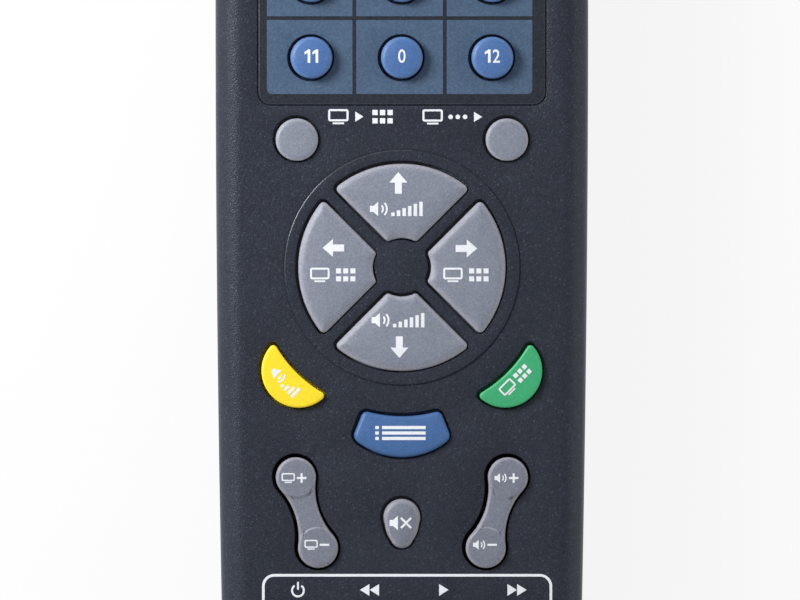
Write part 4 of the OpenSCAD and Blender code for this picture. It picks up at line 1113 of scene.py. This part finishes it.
def figure(digit):
    """A digit as flat triangles: a one with a flag, or one of Blender's own letters."""
    prints, bolder, narrower = bpy.context.scene.remote_prints, 0.02 * MM, [0.86, 1]
    if digit == "1":
        one = [
            (0.04, -0.93), (0.4, -0.93), (0.4, 0.93), (0.12, 0.93), (-0.4, 0.58), (-0.4, 0.22), (0.04, 0.45),
        ]
        points, faces = flat([shape(one)], 0)
        return points[:, :2], faces
    curve = bpy.data.curves.new("numeral", "FONT")
    curve.body, curve.size, curve.offset = digit, prints.number, bolder
    letter = bpy.data.objects.new("numeral", curve)
    bpy.context.scene.collection.objects.link(letter)
    mesh = bpy.data.meshes.new_from_object(letter.evaluated_get(bpy.context.evaluated_depsgraph_get()))
    points, faces = triangles(mesh)
    points = points[:, :2] * narrower
    bpy.data.objects.remove(letter, do_unlink=True)
    bpy.data.curves.remove(curve)
    bpy.data.meshes.remove(mesh)
    return points - [0, (points[:, 1].min() + points[:, 1].max()) / 2], faces


def numeral(text):
    """A number as flat triangles about its middle: its digits side by side with an even gap."""
    points, faces, right, start, gap = [], [], 0, 0, 0.3 * MM
    for digit in text:
        places, corners = figure(digit)
        places = places + [right - places[:, 0].min(), 0]
        points.append(places)
        faces.append(corners + start)
        right = places[:, 0].max() + gap
        start += len(places)
    points = np.concatenate(points)
    return points - [points[:, 0].max() / 2, 0], np.concatenate(faces)


def ink_slab(points, faces, level):
    """Thin closed slab of ink on a surface: a flat figure's two faces, and walls along its outer edges."""
    prints = bpy.context.scene.remote_prints
    surface = level(points[:, 0], points[:, 1])
    sides = np.concatenate([faces[:, [0, 1]], faces[:, [1, 2]], faces[:, [2, 0]]])
    key = np.sort(sides, axis=1)
    _, first, count = np.unique(key, axis=0, return_index=True, return_counts=True)
    rim = sides[first[count == 1]]
    n = len(points)
    top = at_height(points, surface + prints.thickness)
    under = at_height(points, surface - prints.sunk)
    walls = np.column_stack([rim[:, 0] + n, rim[:, 1] + n, rim[:, 1], rim[:, 0]])
    return [
        (np.concatenate([top, under]), np.concatenate([faces, faces[:, ::-1] + n])),
        (np.concatenate([top, under]), walls),
    ]


def sign_slabs(parts, at, level):
    """Ink slabs of a sign's parts at a place on a surface."""
    patches = []
    for part in parts:
        points, faces = flat([loop + at for loop in part], 0)
        patches += ink_slab(points[:, :2], faces, level)
    return patches


def key_level(node):
    """Height of a key's top at any place."""
    dip, high = key_dip(node, key_outline(node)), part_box(node)[1].z
    return lambda x, y: high - dip(x, y)


def print_on_key(node, parts, at):
    """A sign printed on a key, which moves with it."""
    mesh = mesh_of(node + "_sign", sign_slabs(parts, at, key_level(node)))
    put(node + "_sign", mesh, node, [finish("ink")])


# Cells and springs

def cell_patches(node):
    """A cell along +Y from its own tip: button, sleeve, band, sleeve and crimped base."""
    low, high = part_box(node)
    r, length, button = (high.x - low.x) / 2, high.y - low.y, 1.2 * MM
    crimp, shoulder, heel = 0.5 * MM, button + 0.1 * MM, length - 0.05 * MM
    band_from, band_to = button + 9 * MM, button + 10.5 * MM
    tip = [(0, 0), (1.5 * MM, 0), (1.9 * MM, 0.35 * MM), (1.9 * MM, button), (3 * MM, shoulder)]
    tip.append((r - crimp, shoulder))
    upper = [(r - crimp, shoulder), (r - 0.3 * crimp, button), (r, button + 0.6 * crimp), (r, band_from)]
    stripe = [(r, band_from), (r, band_to)]
    lower = [(r, band_to), (r, length - 0.6 * crimp), (r - 0.3 * crimp, heel), (r - crimp, heel)]
    base = [(r - crimp, heel), (r - 2 * crimp, length), (0, length)]
    inks = ((tip, 1), (upper, 0), (stripe, 2), (lower, 0), (base, 1))
    return [laid_along(turned(rows, (0, 0))) + (ink,) for rows, ink in inks]


def coil():
    """A tapered coil spring along +Y: a round wire swept along a helix whose radius falls evenly."""
    wire, turns, big, small, tall = 0.6 * MM, 3.25, 3.4 * MM, 2.3 * MM, 4.6 * MM
    play, sides = 0.05 * MM, 14
    t = np.linspace(0, 1, 240)
    turn, radius = 2 * np.pi * turns * t, big + (small - big) * t
    rise = wire / 2 + play + t * (tall - wire - 2 * play)
    line = np.column_stack([radius * np.cos(turn), radius * np.sin(turn), rise])
    ahead = np.gradient(line, axis=0)
    ahead /= np.linalg.norm(ahead, axis=1)[:, None]
    out = np.column_stack([np.cos(turn), np.sin(turn), np.zeros(len(t))])
    side = np.cross(ahead, out)
    side /= np.linalg.norm(side, axis=1)[:, None]
    out = np.cross(side, ahead)
    angle = np.linspace(0, 2 * np.pi, sides, endpoint=False)[None, :, None]
    tube = line[:, None] + wire / 2 * (np.cos(angle) * out[:, None] + np.sin(angle) * side[:, None])
    start, end = (np.repeat(point[None, None], sides, axis=1) for point in (line[0], line[-1]))
    return laid_along(sleeve(np.concatenate([start, tube, end])))


# Floor and surroundings

def paper_finish(glow_share):
    """White paper that shows to the camera and in gloss as mostly plain white, and still takes shadows."""
    paper, tree, shader, add = finish_nodes("paper")
    place = add("ShaderNodeTexCoord").outputs["Object"]
    fibre = add("ShaderNodeTexNoise", {"Vector": place, "Scale": 900.0, "Detail": 2.0})
    tone = add("ShaderNodeMapRange", {"Value": fibre.outputs["Fac"], "To Min": 0.86, "To Max": 0.9})
    tree.links.new(tone.outputs["Result"], shader.inputs["Base Color"])
    shader.inputs["Roughness"].default_value = 0.9
    shader.inputs["Specular IOR Level"].default_value = 0.0
    glow = add("ShaderNodeEmission", {"Color": (1, 1, 1, 1), "Strength": 1.0})
    ray = add("ShaderNodeLightPath").outputs
    seen = add("ShaderNodeMath", {0: ray["Is Camera Ray"], 1: ray["Is Glossy Ray"]}, operation="MAXIMUM")
    seen = add("ShaderNodeMath", {0: seen.outputs[0], 1: ray["Is Transmission Ray"]}, operation="MAXIMUM")
    share = add("ShaderNodeMath", {0: seen.outputs[0], 1: glow_share}, operation="MULTIPLY")
    mix = add("ShaderNodeMixShader", {0: share.outputs[0]})
    tree.links.new(shader.outputs["BSDF"], mix.inputs[1])
    tree.links.new(glow.outputs["Emission"], mix.inputs[2])
    tree.links.new(mix.outputs["Shader"], tree.nodes["Material Output"].inputs["Surface"])
    return paper


def surroundings(zenith, horizon):
    """White world whose strength goes evenly from the horizon to the zenith."""
    world = bpy.data.worlds.new("studio")
    world.use_nodes = True
    tree = world.node_tree
    add, background = node_maker(tree), tree.nodes["Background"]
    way = add("ShaderNodeTexCoord").outputs["Generated"]
    height = add("ShaderNodeSeparateXYZ", {"Vector": way}).outputs["Z"]
    fade = add("ShaderNodeMapRange", {"Value": height, "To Min": horizon, "To Max": zenith})
    tree.links.new(fade.outputs["Result"], background.inputs["Strength"])
    background.inputs["Color"].default_value = (1, 1, 1, 1)
    return world


# Operators

class REMOTE_OT_upper_case(Operator):
    """Upper shell: lofted sides, top plate with a lipped hole for each key, raised disc and panel recess"""

    bl_idname = "remote.upper_case"
    bl_label = "Upper Case"

    def execute(self, context):
        case, keys = context.scene.remote_case, context.scene.remote_keys
        path, top, under = case_path(case), case.top_face, case.top_face - case.wall
        disc_top, floor = top + case.disc_rise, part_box("number_panel")[0].z
        groove, groove_top = 0.9 * MM, case.parting + 1.5 * MM
        rim = [(case.wall, groove_top), (groove, groove_top), (groove, case.parting)]
        rim.append((case.seam, case.parting))
        outside = [seam_rows(case, 1)[::-1], quarter(case.draft, top, case.top_edge, True, 18)]
        within = quarter(case.draft + case.wall, under, case.top_edge - case.wall, True)[::-1]
        outer = case_rings(path, np.concatenate(outside))
        inner = case_rings(path, np.concatenate([within, rim]))
        disc, recess = disc_rings(case), recess_rings(case, floor)
        disc_points, disc_faces = sleeve(disc)
        # The glossier edge finish goes only on the side of the disc edge that faces the key lamp, so the
        # lamp's highlight shows there; the other side keeps the case finish with its painted edge shade.
        away = disc_points[disc_faces].mean(axis=1) - [*nav_centre(), top]
        toward_key_lamp = (away[:, 2] > 0) & (away[:, 1] - away[:, 0] > 0.9 * case.disc)
        led_at, led_size, led_gap, led_lip = centre("indicator_led"), 3 * MM, 0.15 * MM, 0.1 * MM
        led = Outline(oval_edge(led_at, led_size, led_size), led_at, 48)
        shift = (keys.hole_x, keys.hole_y)
        plate = [lipped_hole(key_outline(n), hole_gap(n), case.lip, top, under, shift) for n in PLATE_KEYS]
        plate.append(lipped_hole(led, led_gap, led_lip, top, under))
        ring = [lipped_hole(key_outline(n), keys.gap, case.lip, disc_top, under, shift) for n in NAV_KEYS]
        loops = [key_outline(n).ring(keys.gap) for n in NUMBER_KEYS]
        numbers = [np.array([at_height(loop, z) for z in (floor, under)]) for loop in loops]
        holes = plate + ring + numbers
        patches = [sleeve(outer), sleeve(inner), sleeve(recess)]
        patches += [(disc_points, disc_faces[~toward_key_lamp]), (disc_points, disc_faces[toward_key_lamp], 1)]
        patches += [sleeve(hole) for hole in holes]
        patches.append(flat([outer[-1], disc[0], recess[0]] + [hole[0] for hole in plate], top))
        patches.append(flat([disc[-1]] + [hole[0] for hole in ring], disc_top))
        patches.append(flat([recess[-1]] + [hole[0] for hole in numbers], floor))
        patches.append(flat([inner[0]] + [hole[-1] for hole in holes], under, up=False))
        shell = mesh_of("upper_case", patches)
        mesh = combine("upper_case", shell, [block(*window_opening(case))], "DIFFERENCE")
        finishes = [finish("case_plastic"), finish("worn_edge")]
        put("upper_shell", mesh, "case", finishes, ["upper_case"])
        return {"FINISHED"}


class REMOTE_OT_lower_case(Operator):
    """Lower shell: lofted tub with the battery bay, the door's slot and the screw wells"""

    bl_idname = "remote.lower_case"
    bl_label = "Lower Case"

    def execute(self, context):
        case = context.scene.remote_case
        path, outside = case_path(case), lower_outside(case)
        lip_out, lip_in, lip_top = 1.0 * MM, 1.9 * MM, case.parting + 1.4 * MM
        rim = [(lip_out, case.parting), (lip_out, lip_top), (lip_in, lip_top), (lip_in, case.parting)]
        rim.append((case.wall, case.parting))
        within = quarter(case.wall, case.wall, case.back_edge - case.wall, False)[::-1]
        tub = capped(case_rings(path, np.concatenate([outside, rim, within])))
        door_low, door_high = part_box("battery_door")
        cells_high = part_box("battery_right")[1]
        plates_low, plates_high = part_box("contact_plates")
        gap, cell_gap, wall, tongue, groove_half = 0.15 * MM, 0.4 * MM, 1 * MM, 1 * MM, 0.5 * MM
        inside_skin, above_back, below = 0.02 * MM, 0.01 * MM, -5 * MM
        slot_w, slot_end, slot_top = door_high.x - tongue + gap, door_high.y + gap, door_high.z + gap
        bay_w, bay_top = cells_high.x + cell_gap, cells_high.z + cell_gap
        pad_rows = outside[outside[:, 1] <= slot_top + wall]
        pad_rows = np.concatenate([pad_rows, [(pad_rows[-1, 0], slot_top + wall)]])
        pad = mesh_of("pad", capped(case_rings(inset(path, inside_skin), pad_rows)))
        pad_w = slot_w + tongue + wall
        limit = block((-pad_w, -case.length, above_back), (pad_w, slot_end + wall, slot_top + 2 * wall))
        pad = combine("pad", pad, [limit], "INTERSECT")
        bay_low = (-bay_w - wall, plates_low.y - wall, wall)
        bay_high = (bay_w + wall, plates_high.y + wall, bay_top + wall)
        boss = post(3.25 * MM, wall, case.parting)
        well, bore = post(2.6 * MM, -1 * MM, 5 * MM), post(1.25 * MM, 4 * MM, 13 * MM)
        added = [triangles(pad), block(bay_low, bay_high)]
        added += [turned(boss, at, 48) for at in screw_places()]
        mesh = combine("lower_case", mesh_of("lower_case", tub), added, "UNION", True)
        middle, groove_w = (door_low.z + door_high.z) / 2, slot_w + tongue
        groove_low, groove_high = middle - groove_half, middle + groove_half
        removed = [
            block((-bay_w, plates_low.y, below), (bay_w, plates_high.y, bay_top)),
            block((-slot_w, -case.length, below), (slot_w, slot_end, slot_top)),
            block((-groove_w, -case.length, groove_low), (groove_w, slot_end, groove_high)),
            block(*window_opening(case)),
        ]
        for at in screw_places():
            removed += [turned(well, at, 48), turned(bore, at, 32)]
        mesh = combine("lower_case", mesh, removed, "DIFFERENCE", True)
        put("lower_shell", mesh, "case", [finish("case_plastic")], ["lower_case"], 30)
        return {"FINISHED"}


class REMOTE_OT_battery_door(Operator):
    """Battery door: a length of the back with tongues along its sides and finger grooves"""

    bl_idname = "remote.battery_door"
    bl_label = "Battery Door"

    def execute(self, context):
        case = context.scene.remote_case
        solid = mesh_of("door", capped(case_rings(case_path(case), lower_outside(case))))
        low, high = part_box("battery_door")
        tongue, half_t, middle = 1 * MM, 0.35 * MM, (low.z + high.z) / 2
        limits = [
            block((low.x + tongue, -case.length, low.z), (high.x - tongue, high.y, high.z)),
            block((low.x, -case.length, middle - half_t), (high.x, high.y, middle + half_t)),
        ]
        mesh = combine("battery_door", solid, limits, "INTERSECT", True)
        radius, half, pitch, count = 0.45 * MM, 7 * MM, 1.9 * MM, 7
        tail = [(0.75 * radius, half + 0.6 * radius), (0, half + radius)]
        head = [(r, -y) for r, y in tail[::-1]]
        points, faces = turned(head + [(radius, -half), (radius, half)] + tail, (0, 0), 24)
        points = np.column_stack([points[:, 2], points[:, 0], points[:, 1]])
        places = [(0, high.y - 2 * pitch - i * pitch, low.z) for i in range(count)]
        mesh = combine("battery_door", mesh, [(points + place, faces) for place in places], "DIFFERENCE")
        put("battery_cover", mesh, "door", [finish("case_plastic")], ["battery_door"], 30)
        return {"FINISHED"}


class REMOTE_OT_number_panel(Operator):
    """Number panel: a thin sheet with printed cells round the number keys"""

    bl_idname = "remote.number_panel"
    bl_label = "Number Panel"

    def execute(self, context):
        case, keys = context.scene.remote_case, context.scene.remote_keys
        low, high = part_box("number_panel")
        bevel, lip, big, small = 0.22 * MM, 0.1 * MM, 0.7 * MM, 0.08 * MM
        rows = [(0, low.z), (0, high.z - 0.6 * bevel), (-bevel, high.z)]
        sheet = np.array([at_height(panel_loop(case, grow), z) for grow, z in rows])
        aside = (keys.sheet_x, 0)
        holes = [lipped_hole(key_outline(n), keys.gap, lip, high.z, low.z, aside) for n in NUMBER_KEYS]
        half, line, shift = case.cell_half, case.cell_line, case.cell_shift
        pitch_x = centre("number_key_2")[0] - centre("number_key_1")[0]
        pitch_y = centre("number_key_1")[1] - centre("number_key_4")[1]
        near, far = pitch_x / 2 - line / 2, pitch_x / 2 + line / 2
        columns = [(-half, -far), (-near, near), (far, half)]
        cells = []
        for i, node in enumerate(NUMBER_KEYS):
            x0, x1 = columns[i % 3]
            y = centre(node)[1]
            top, bottom = y + case.cell_up, y + case.cell_up - pitch_y + case.row_line
            if i >= 9:
                bottom = y - case.cell_down
            corner = {9: 0, 11: 1, 2: 2, 0: 3}.get(i)
            radii = [big if k == corner else small for k in range(4)]
            cells.append(rounded_box((x0 + shift, bottom), (x1 + shift, top), radii))
        patches = [sleeve(sheet) + (2,)] + [sleeve(hole) for hole in holes]
        patches.append(flat([sheet[-1]] + cells, high.z))
        patches += [flat([cell, hole[0]], high.z) + (1,) for cell, hole in zip(cells, holes)]
        patches.append(flat([sheet[0]] + [hole[-1] for hole in holes], low.z, up=False))
        mesh = mesh_of("number_sheet", patches)
        finishes = [finish(name) for name in ("panel_border", "panel_cells", "worn_edge")]
        put("number_sheet", mesh, "case", finishes, ["number_panel"], 25)
        return {"FINISHED"}


class REMOTE_OT_keys(Operator):
    """Push keys: round, oval, arrow, crescent, menu and mute keys, each a closed crowned skin"""

    bl_idname = "remote.keys"
    bl_label = "Push Keys"

    def execute(self, context):
        colours = {
            "main_power_key": "red", "menu_key": "menu", "mute_key": "rocker", "yellow_key": "yellow",
            "green_key": "green",
        }
        plate = [node for node in PLATE_KEYS if node not in ROCKERS]
        for node in NUMBER_KEYS + list(NAV_KEYS) + plate:
            colour = "blue" if node in NUMBER_KEYS else colours.get(node, "grey")
            put(node + "_cap", key_mesh(node), node, [finish(colour)], [node], 50)
        return {"FINISHED"}


class REMOTE_OT_rockers(Operator):
    """Rockers: dumb-bell caps with raised round pads, pivot lugs and contact feet"""

    bl_idname = "remote.rockers"
    bl_label = "Rockers"

    def execute(self, context):
        for node in ROCKERS:
            mesh, finishes = key_mesh(node), [finish("rocker"), finish("mat")]
            put(node + "_cap", mesh, node, finishes, [node], 50)
        return {"FINISHED"}


class REMOTE_OT_optics(Operator):
    """Infrared window with its rim, and the indicator's domed lens"""

    bl_idname = "remote.optics"
    bl_label = "Window and Indicator"

    def execute(self, context):
        low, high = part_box("ir_window")
        rim, rim_t, bevel, rim_r, pane_r = 0.8 * MM, 0.8 * MM, 0.35 * MM, 0.6 * MM, 0.5 * MM
        back, face, step = low.y, high.y, low.y + rim_t
        flat_low, flat_high = np.array([low.x, low.z]), np.array([high.x, high.z])
        rows = [(0, rim_r, back), (0, rim_r, step), (rim, pane_r, step), (rim, pane_r, face - bevel)]
        for a in np.linspace(0, np.pi / 2, 6)[1:]:
            rows.append((rim + bevel * (1 - np.cos(a)), pane_r, face - bevel * (1 - np.sin(a))))
        loops = [rounded_box(flat_low + shrink, flat_high - shrink, [r] * 4, 10) for shrink, r, _ in rows]
        rings = np.array([at_height(loop, y) for loop, (_, _, y) in zip(loops, rows)])
        mesh = mesh_of("window_pane", [laid_along(patch) for patch in capped(rings)])
        put("window_pane", mesh, "case", [finish("window")], ["ir_window"])
        low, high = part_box("indicator_led")
        r, collar, collar_top = 1.5 * MM, 1.9 * MM, low.z + 1 * MM
        profile = [(0, low.z), (collar, low.z), (collar, collar_top), (r, collar_top)]
        profile += [(r * np.cos(a), high.z - r + r * np.sin(a)) for a in np.linspace(0, np.pi / 2, 16)]
        mesh = mesh_of("indicator_lens", [turned(profile, centre("indicator_led"), 48)])
        put("indicator_lens", mesh, "case", [finish("diode_red")], ["indicator_led"])
        return {"FINISHED"}


class REMOTE_OT_batteries(Operator):
    """Batteries with crimped ends, and their coil springs"""

    bl_idname = "remote.batteries"
    bl_label = "Batteries and Springs"

    def execute(self, context):
        half_turn, contact = np.array([-1, -1, 1]), 0.4 * MM
        low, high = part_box("battery_left")
        level, left, right = (low.z + high.z) / 2, centre("battery_left")[0], centre("battery_right")[0]
        tips = {
            "battery_left": (half_turn, [left, high.y, level]),
            "battery_right": (1, [right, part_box("battery_right")[0].y, level]),
        }
        for node, (turn, tip_at) in tips.items():
            patches = [(points * turn + tip_at, faces, ink) for points, faces, ink in cell_patches(node)]
            finishes = [finish(name) for name in ("cell_sleeve", "nickel", "cell_band")]
            put(node + "_cell", mesh_of(node + "_cell", patches), "case", finishes, [node])
        points, faces = coil()
        plates_low, plates_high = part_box("contact_plates")
        tail_at, head_at = [left, plates_low.y + contact, level], [right, plates_high.y - contact, level]
        patches = [(points + tail_at, faces), (points * half_turn + head_at, faces)]
        mesh = mesh_of("coil_springs", patches)
        put("coil_springs", mesh, "case", [finish("nickel")], ["contact_springs"], 60)
        return {"FINISHED"}


class REMOTE_OT_inner_works(Operator):
    """Finishes of the pieces that keep their CAD shape: board, mat, electronics, contacts and screws"""

    bl_idname = "remote.inner_works"
    bl_label = "Inner Works"

    def execute(self, context):
        chosen = {
            "keypad_mat": "mat", "circuit_board": "board", "control_chip": "chip_black",
            "resonator": "ceramic", "capacitor": "can_sleeve", "chip_components": "chip_black",
            "ir_led": "diode_clear", "contact_plates": "nickel", "case_screws": "steel",
        }
        for node, name in chosen.items():
            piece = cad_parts[node]
            for slot in piece.material_slots:
                slot.material = finish(name)
        return {"FINISHED"}


class REMOTE_OT_key_signs(Operator):
    """Signs printed on the keys: numbers, arrows, sound and picture signs, plus and minus"""

    bl_idname = "remote.key_signs"
    bl_label = "Key Signs"

    def execute(self, context):
        keys = context.scene.remote_keys
        for node, text in zip(NUMBER_KEYS, [*"123456789", "11", "0", "12"]):
            points, faces = numeral(text)
            slab = ink_slab(points + centre(node) + [0, 0.2 * MM], faces, key_level(node))
            put(node + "_sign", mesh_of(node + "_sign", slab), node, [finish("ink")])
        hub = nav_centre()
        sound = moved(speaker_sign(), -2.75, 0) + moved(steps_sign(6), 1.35, 0)
        picture = moved(screen_sign(), -1.9, 0) + moved(pages_sign(), 1.75, 0)
        places = {
            "nav_up_key": ((-0.49, 11.73), (-0.49, 8.12), sound),
            "nav_left_key": ((-9.52, 2.7), (-9.5, -1.05), picture),
            "nav_right_key": ((8.97, 2.62), (9.0, -1.05), picture),
            "nav_down_key": ((-0.35, -11.1), (-0.25, -7.35), sound),
        }
        for node, (arrow_at, words_at, words) in places.items():
            parts = moved(turned_sign(arrow_sign(), np.radians(NAV_KEYS[node] - 90)), *arrow_at)
            parts += moved(words, *words_at)
            print_on_key(node, parts, hub)
        print_on_key("menu_key", list_sign(3.5), np.array([-0.2 * MM, centre("menu_key")[1] + 0.2 * MM]))
        print_on_key("mute_key", silent_sign(), key_outline("mute_key").eye - [0.2 * MM, 0.1 * MM])
        sound = moved(speaker_sign(), -1.35, 0, 0.85) + moved(steps_sign(), 1.3, 0, 0.85)
        picture = moved(screen_sign(), -1.4, 0, 0.85) + moved(pages_sign(), 1.45, 0, 0.85)
        print_on_key("yellow_key", moved(turned_sign(sound, -np.pi / 4), -16.3, -15.9), hub)
        print_on_key("green_key", moved(turned_sign(picture, np.pi / 4), 15.75, -15.75), hub)
        for node, side in ROCKERS.items():
            lean = -side * keys.rocker_lean
            along = np.array([-np.sin(lean), np.cos(lean)]) * keys.rocker_reach / MM
            icon = moved(speaker_sign() if side > 0 else screen_sign(), -0.85, 0, 0.68)
            parts = moved(icon + moved(plus_sign(), 1.0, 0, 0.85), *along - [0.2, 0.1])
            parts += moved(icon + moved(minus_sign(), 1.0, 0, 0.85), *-along + [-0.1, 0.45])
            print_on_key(node, parts, centre(node))
        print_on_key("main_power_key", moved(power_sign(), 0, 0, 1.5), centre("main_power_key"))
        for node in TAPE_KEYS[4:]:
            print_on_key(node, tape_sign(node), centre(node))
        return {"FINISHED"}


class REMOTE_OT_case_signs(Operator):
    """Signs printed on the case: the frame round the tape keys and the signs above keys"""

    bl_idname = "remote.case_signs"
    bl_label = "Case Signs"

    def execute(self, context):
        case, prints = context.scene.remote_case, context.scene.remote_prints

        def top(x, y):
            return np.full(np.shape(x), case.top_face)
        shift = np.array([prints.shift, 0])
        rows = np.array([centre(node) for node in TAPE_KEYS])
        low, high = rows.min(axis=0) - [5 * MM, 5.1 * MM], rows.max(axis=0) + [5.05 * MM, prints.frame_up]
        line, corner, large, small = prints.line, 1.7 * MM, 1.05, 0.9
        outer = rounded_box(low, high, [corner] * 4, 12)
        inner = rounded_box(low + line, high - line, [corner - line] * 4, 12)
        patches = sign_slabs([[outer, inner]], shift, top)
        for node in TAPE_KEYS[:4]:
            place = centre(node) + shift + [0, prints.legend_up]
            patches += sign_slabs(moved(tape_sign(node), 0, 0, large), place, top)
        left = moved(screen_sign(), -3.2, 0, large) + moved([wedge(0, 1)], -0.4, 0, small)
        left += moved(pages_sign(), 3.0, 0, large)
        right = moved(screen_sign(), -2.8, 0, large) + [dot(x, 0, 0.32) for x in (-0.3, 0.7, 1.7)]
        right += moved([wedge(0, 1)], 3.4, 0, small)
        patches += sign_slabs(left, np.array([-5.63, 6.3]) * MM, top)
        patches += sign_slabs(right, np.array([7.08, 6.27]) * MM, top)
        for node in DEVICE_KEYS:
            patches += sign_slabs([bar(-1.2, -0.13, 1.2, 0.13)], centre(node) + [0, -2.75 * MM], top)
        put("case_signs", mesh_of("case_signs", patches), "case", [finish("ink")])
        return {"FINISHED"}


class REMOTE_OT_stage(Operator):
    """Pale floor, white surroundings, lamps at the upper left and the right, camera straight above"""

    bl_idname = "remote.stage"
    bl_label = "Stage"

    def execute(self, context):
        scene, stage, case = context.scene, context.scene.remote_stage, context.scene.remote_case
        corners = np.array([(-1, -1), (1, -1), (1, 1), (-1, 1)]) * stage.floor_half
        floor = bpy.data.objects.new("floor", mesh_of("floor", [flat([corners], -stage.floor_drop)]))
        scene.collection.objects.link(floor)
        floor.data.materials.append(paper_finish(stage.floor_glow))
        scene.world = surroundings(stage.zenith, stage.horizon)
        target = Vector((stage.camera_x, stage.camera_y, case.top_face))
        lamps = {
            "key_lamp": (stage.key_at, stage.key_side, stage.key_side, stage.key_power),
            "side_lamp": (stage.side_at, stage.side_l, stage.side_w, stage.side_power),
        }
        for name, (offset, wide, tall, power) in lamps.items():
            lamp = bpy.data.lights.new(name, "AREA")
            lamp.shape, lamp.size, lamp.size_y, lamp.energy = "RECTANGLE", wide, tall, power
            lamp_object = bpy.data.objects.new(name, lamp)
            lamp_object.location = target + Vector(offset)
            lamp_object.rotation_euler = (target - lamp_object.location).to_track_quat("-Z", "Y").to_euler()
            scene.collection.objects.link(lamp_object)
        camera = bpy.data.cameras.new("camera")
        camera.lens = camera.sensor_width * stage.camera_rise / stage.view_width
        camera_object = bpy.data.objects.new("camera", camera)
        camera_object.location = target + Vector((0, 0, stage.camera_rise))
        scene.collection.objects.link(camera_object)
        scene.camera = camera_object
        scene.view_settings.view_transform = "Standard"
        return {"FINISHED"}


OPERATORS = [
    REMOTE_OT_upper_case, REMOTE_OT_lower_case, REMOTE_OT_battery_door, REMOTE_OT_number_panel,
    REMOTE_OT_keys, REMOTE_OT_rockers, REMOTE_OT_optics, REMOTE_OT_batteries, REMOTE_OT_inner_works,
    REMOTE_OT_key_signs, REMOTE_OT_case_signs, REMOTE_OT_stage,
]


class REMOTE_PT_panel(Panel):
    """Lists the operators that build the remote control"""

    bl_idname = "REMOTE_PT_panel"
    bl_label = "Remote Control"
    bl_space_type = "VIEW_3D"
    bl_region_type = "UI"
    bl_category = "Remote"

    def draw(self, context):
        for operator in OPERATORS:
            self.layout.operator(operator.bl_idname)


GROUPS = {
    "remote_case": CaseSizes, "remote_keys": KeySizes, "remote_prints": PrintSizes,
    "remote_finishes": Finishes, "remote_stage": StageSizes,
}


def register():
    for group in GROUPS.values():
        bpy.utils.register_class(group)
    for name, group in GROUPS.items():
        setattr(bpy.types.Scene, name, PointerProperty(type=group))
    for operator in OPERATORS:
        bpy.utils.register_class(operator)
    bpy.utils.register_class(REMOTE_PT_panel)


def unregister():
    bpy.utils.unregister_class(REMOTE_PT_panel)
    for operator in reversed(OPERATORS):
        bpy.utils.unregister_class(operator)
    for name in GROUPS:
        delattr(bpy.types.Scene, name)
    for group in reversed(GROUPS.values()):
        bpy.utils.unregister_class(group)


def main():
    register()
    for operator in OPERATORS:
        group, name = operator.bl_idname.split(".")
        getattr(getattr(bpy.ops, group), name)()


if __name__ == "__main__":
    main()
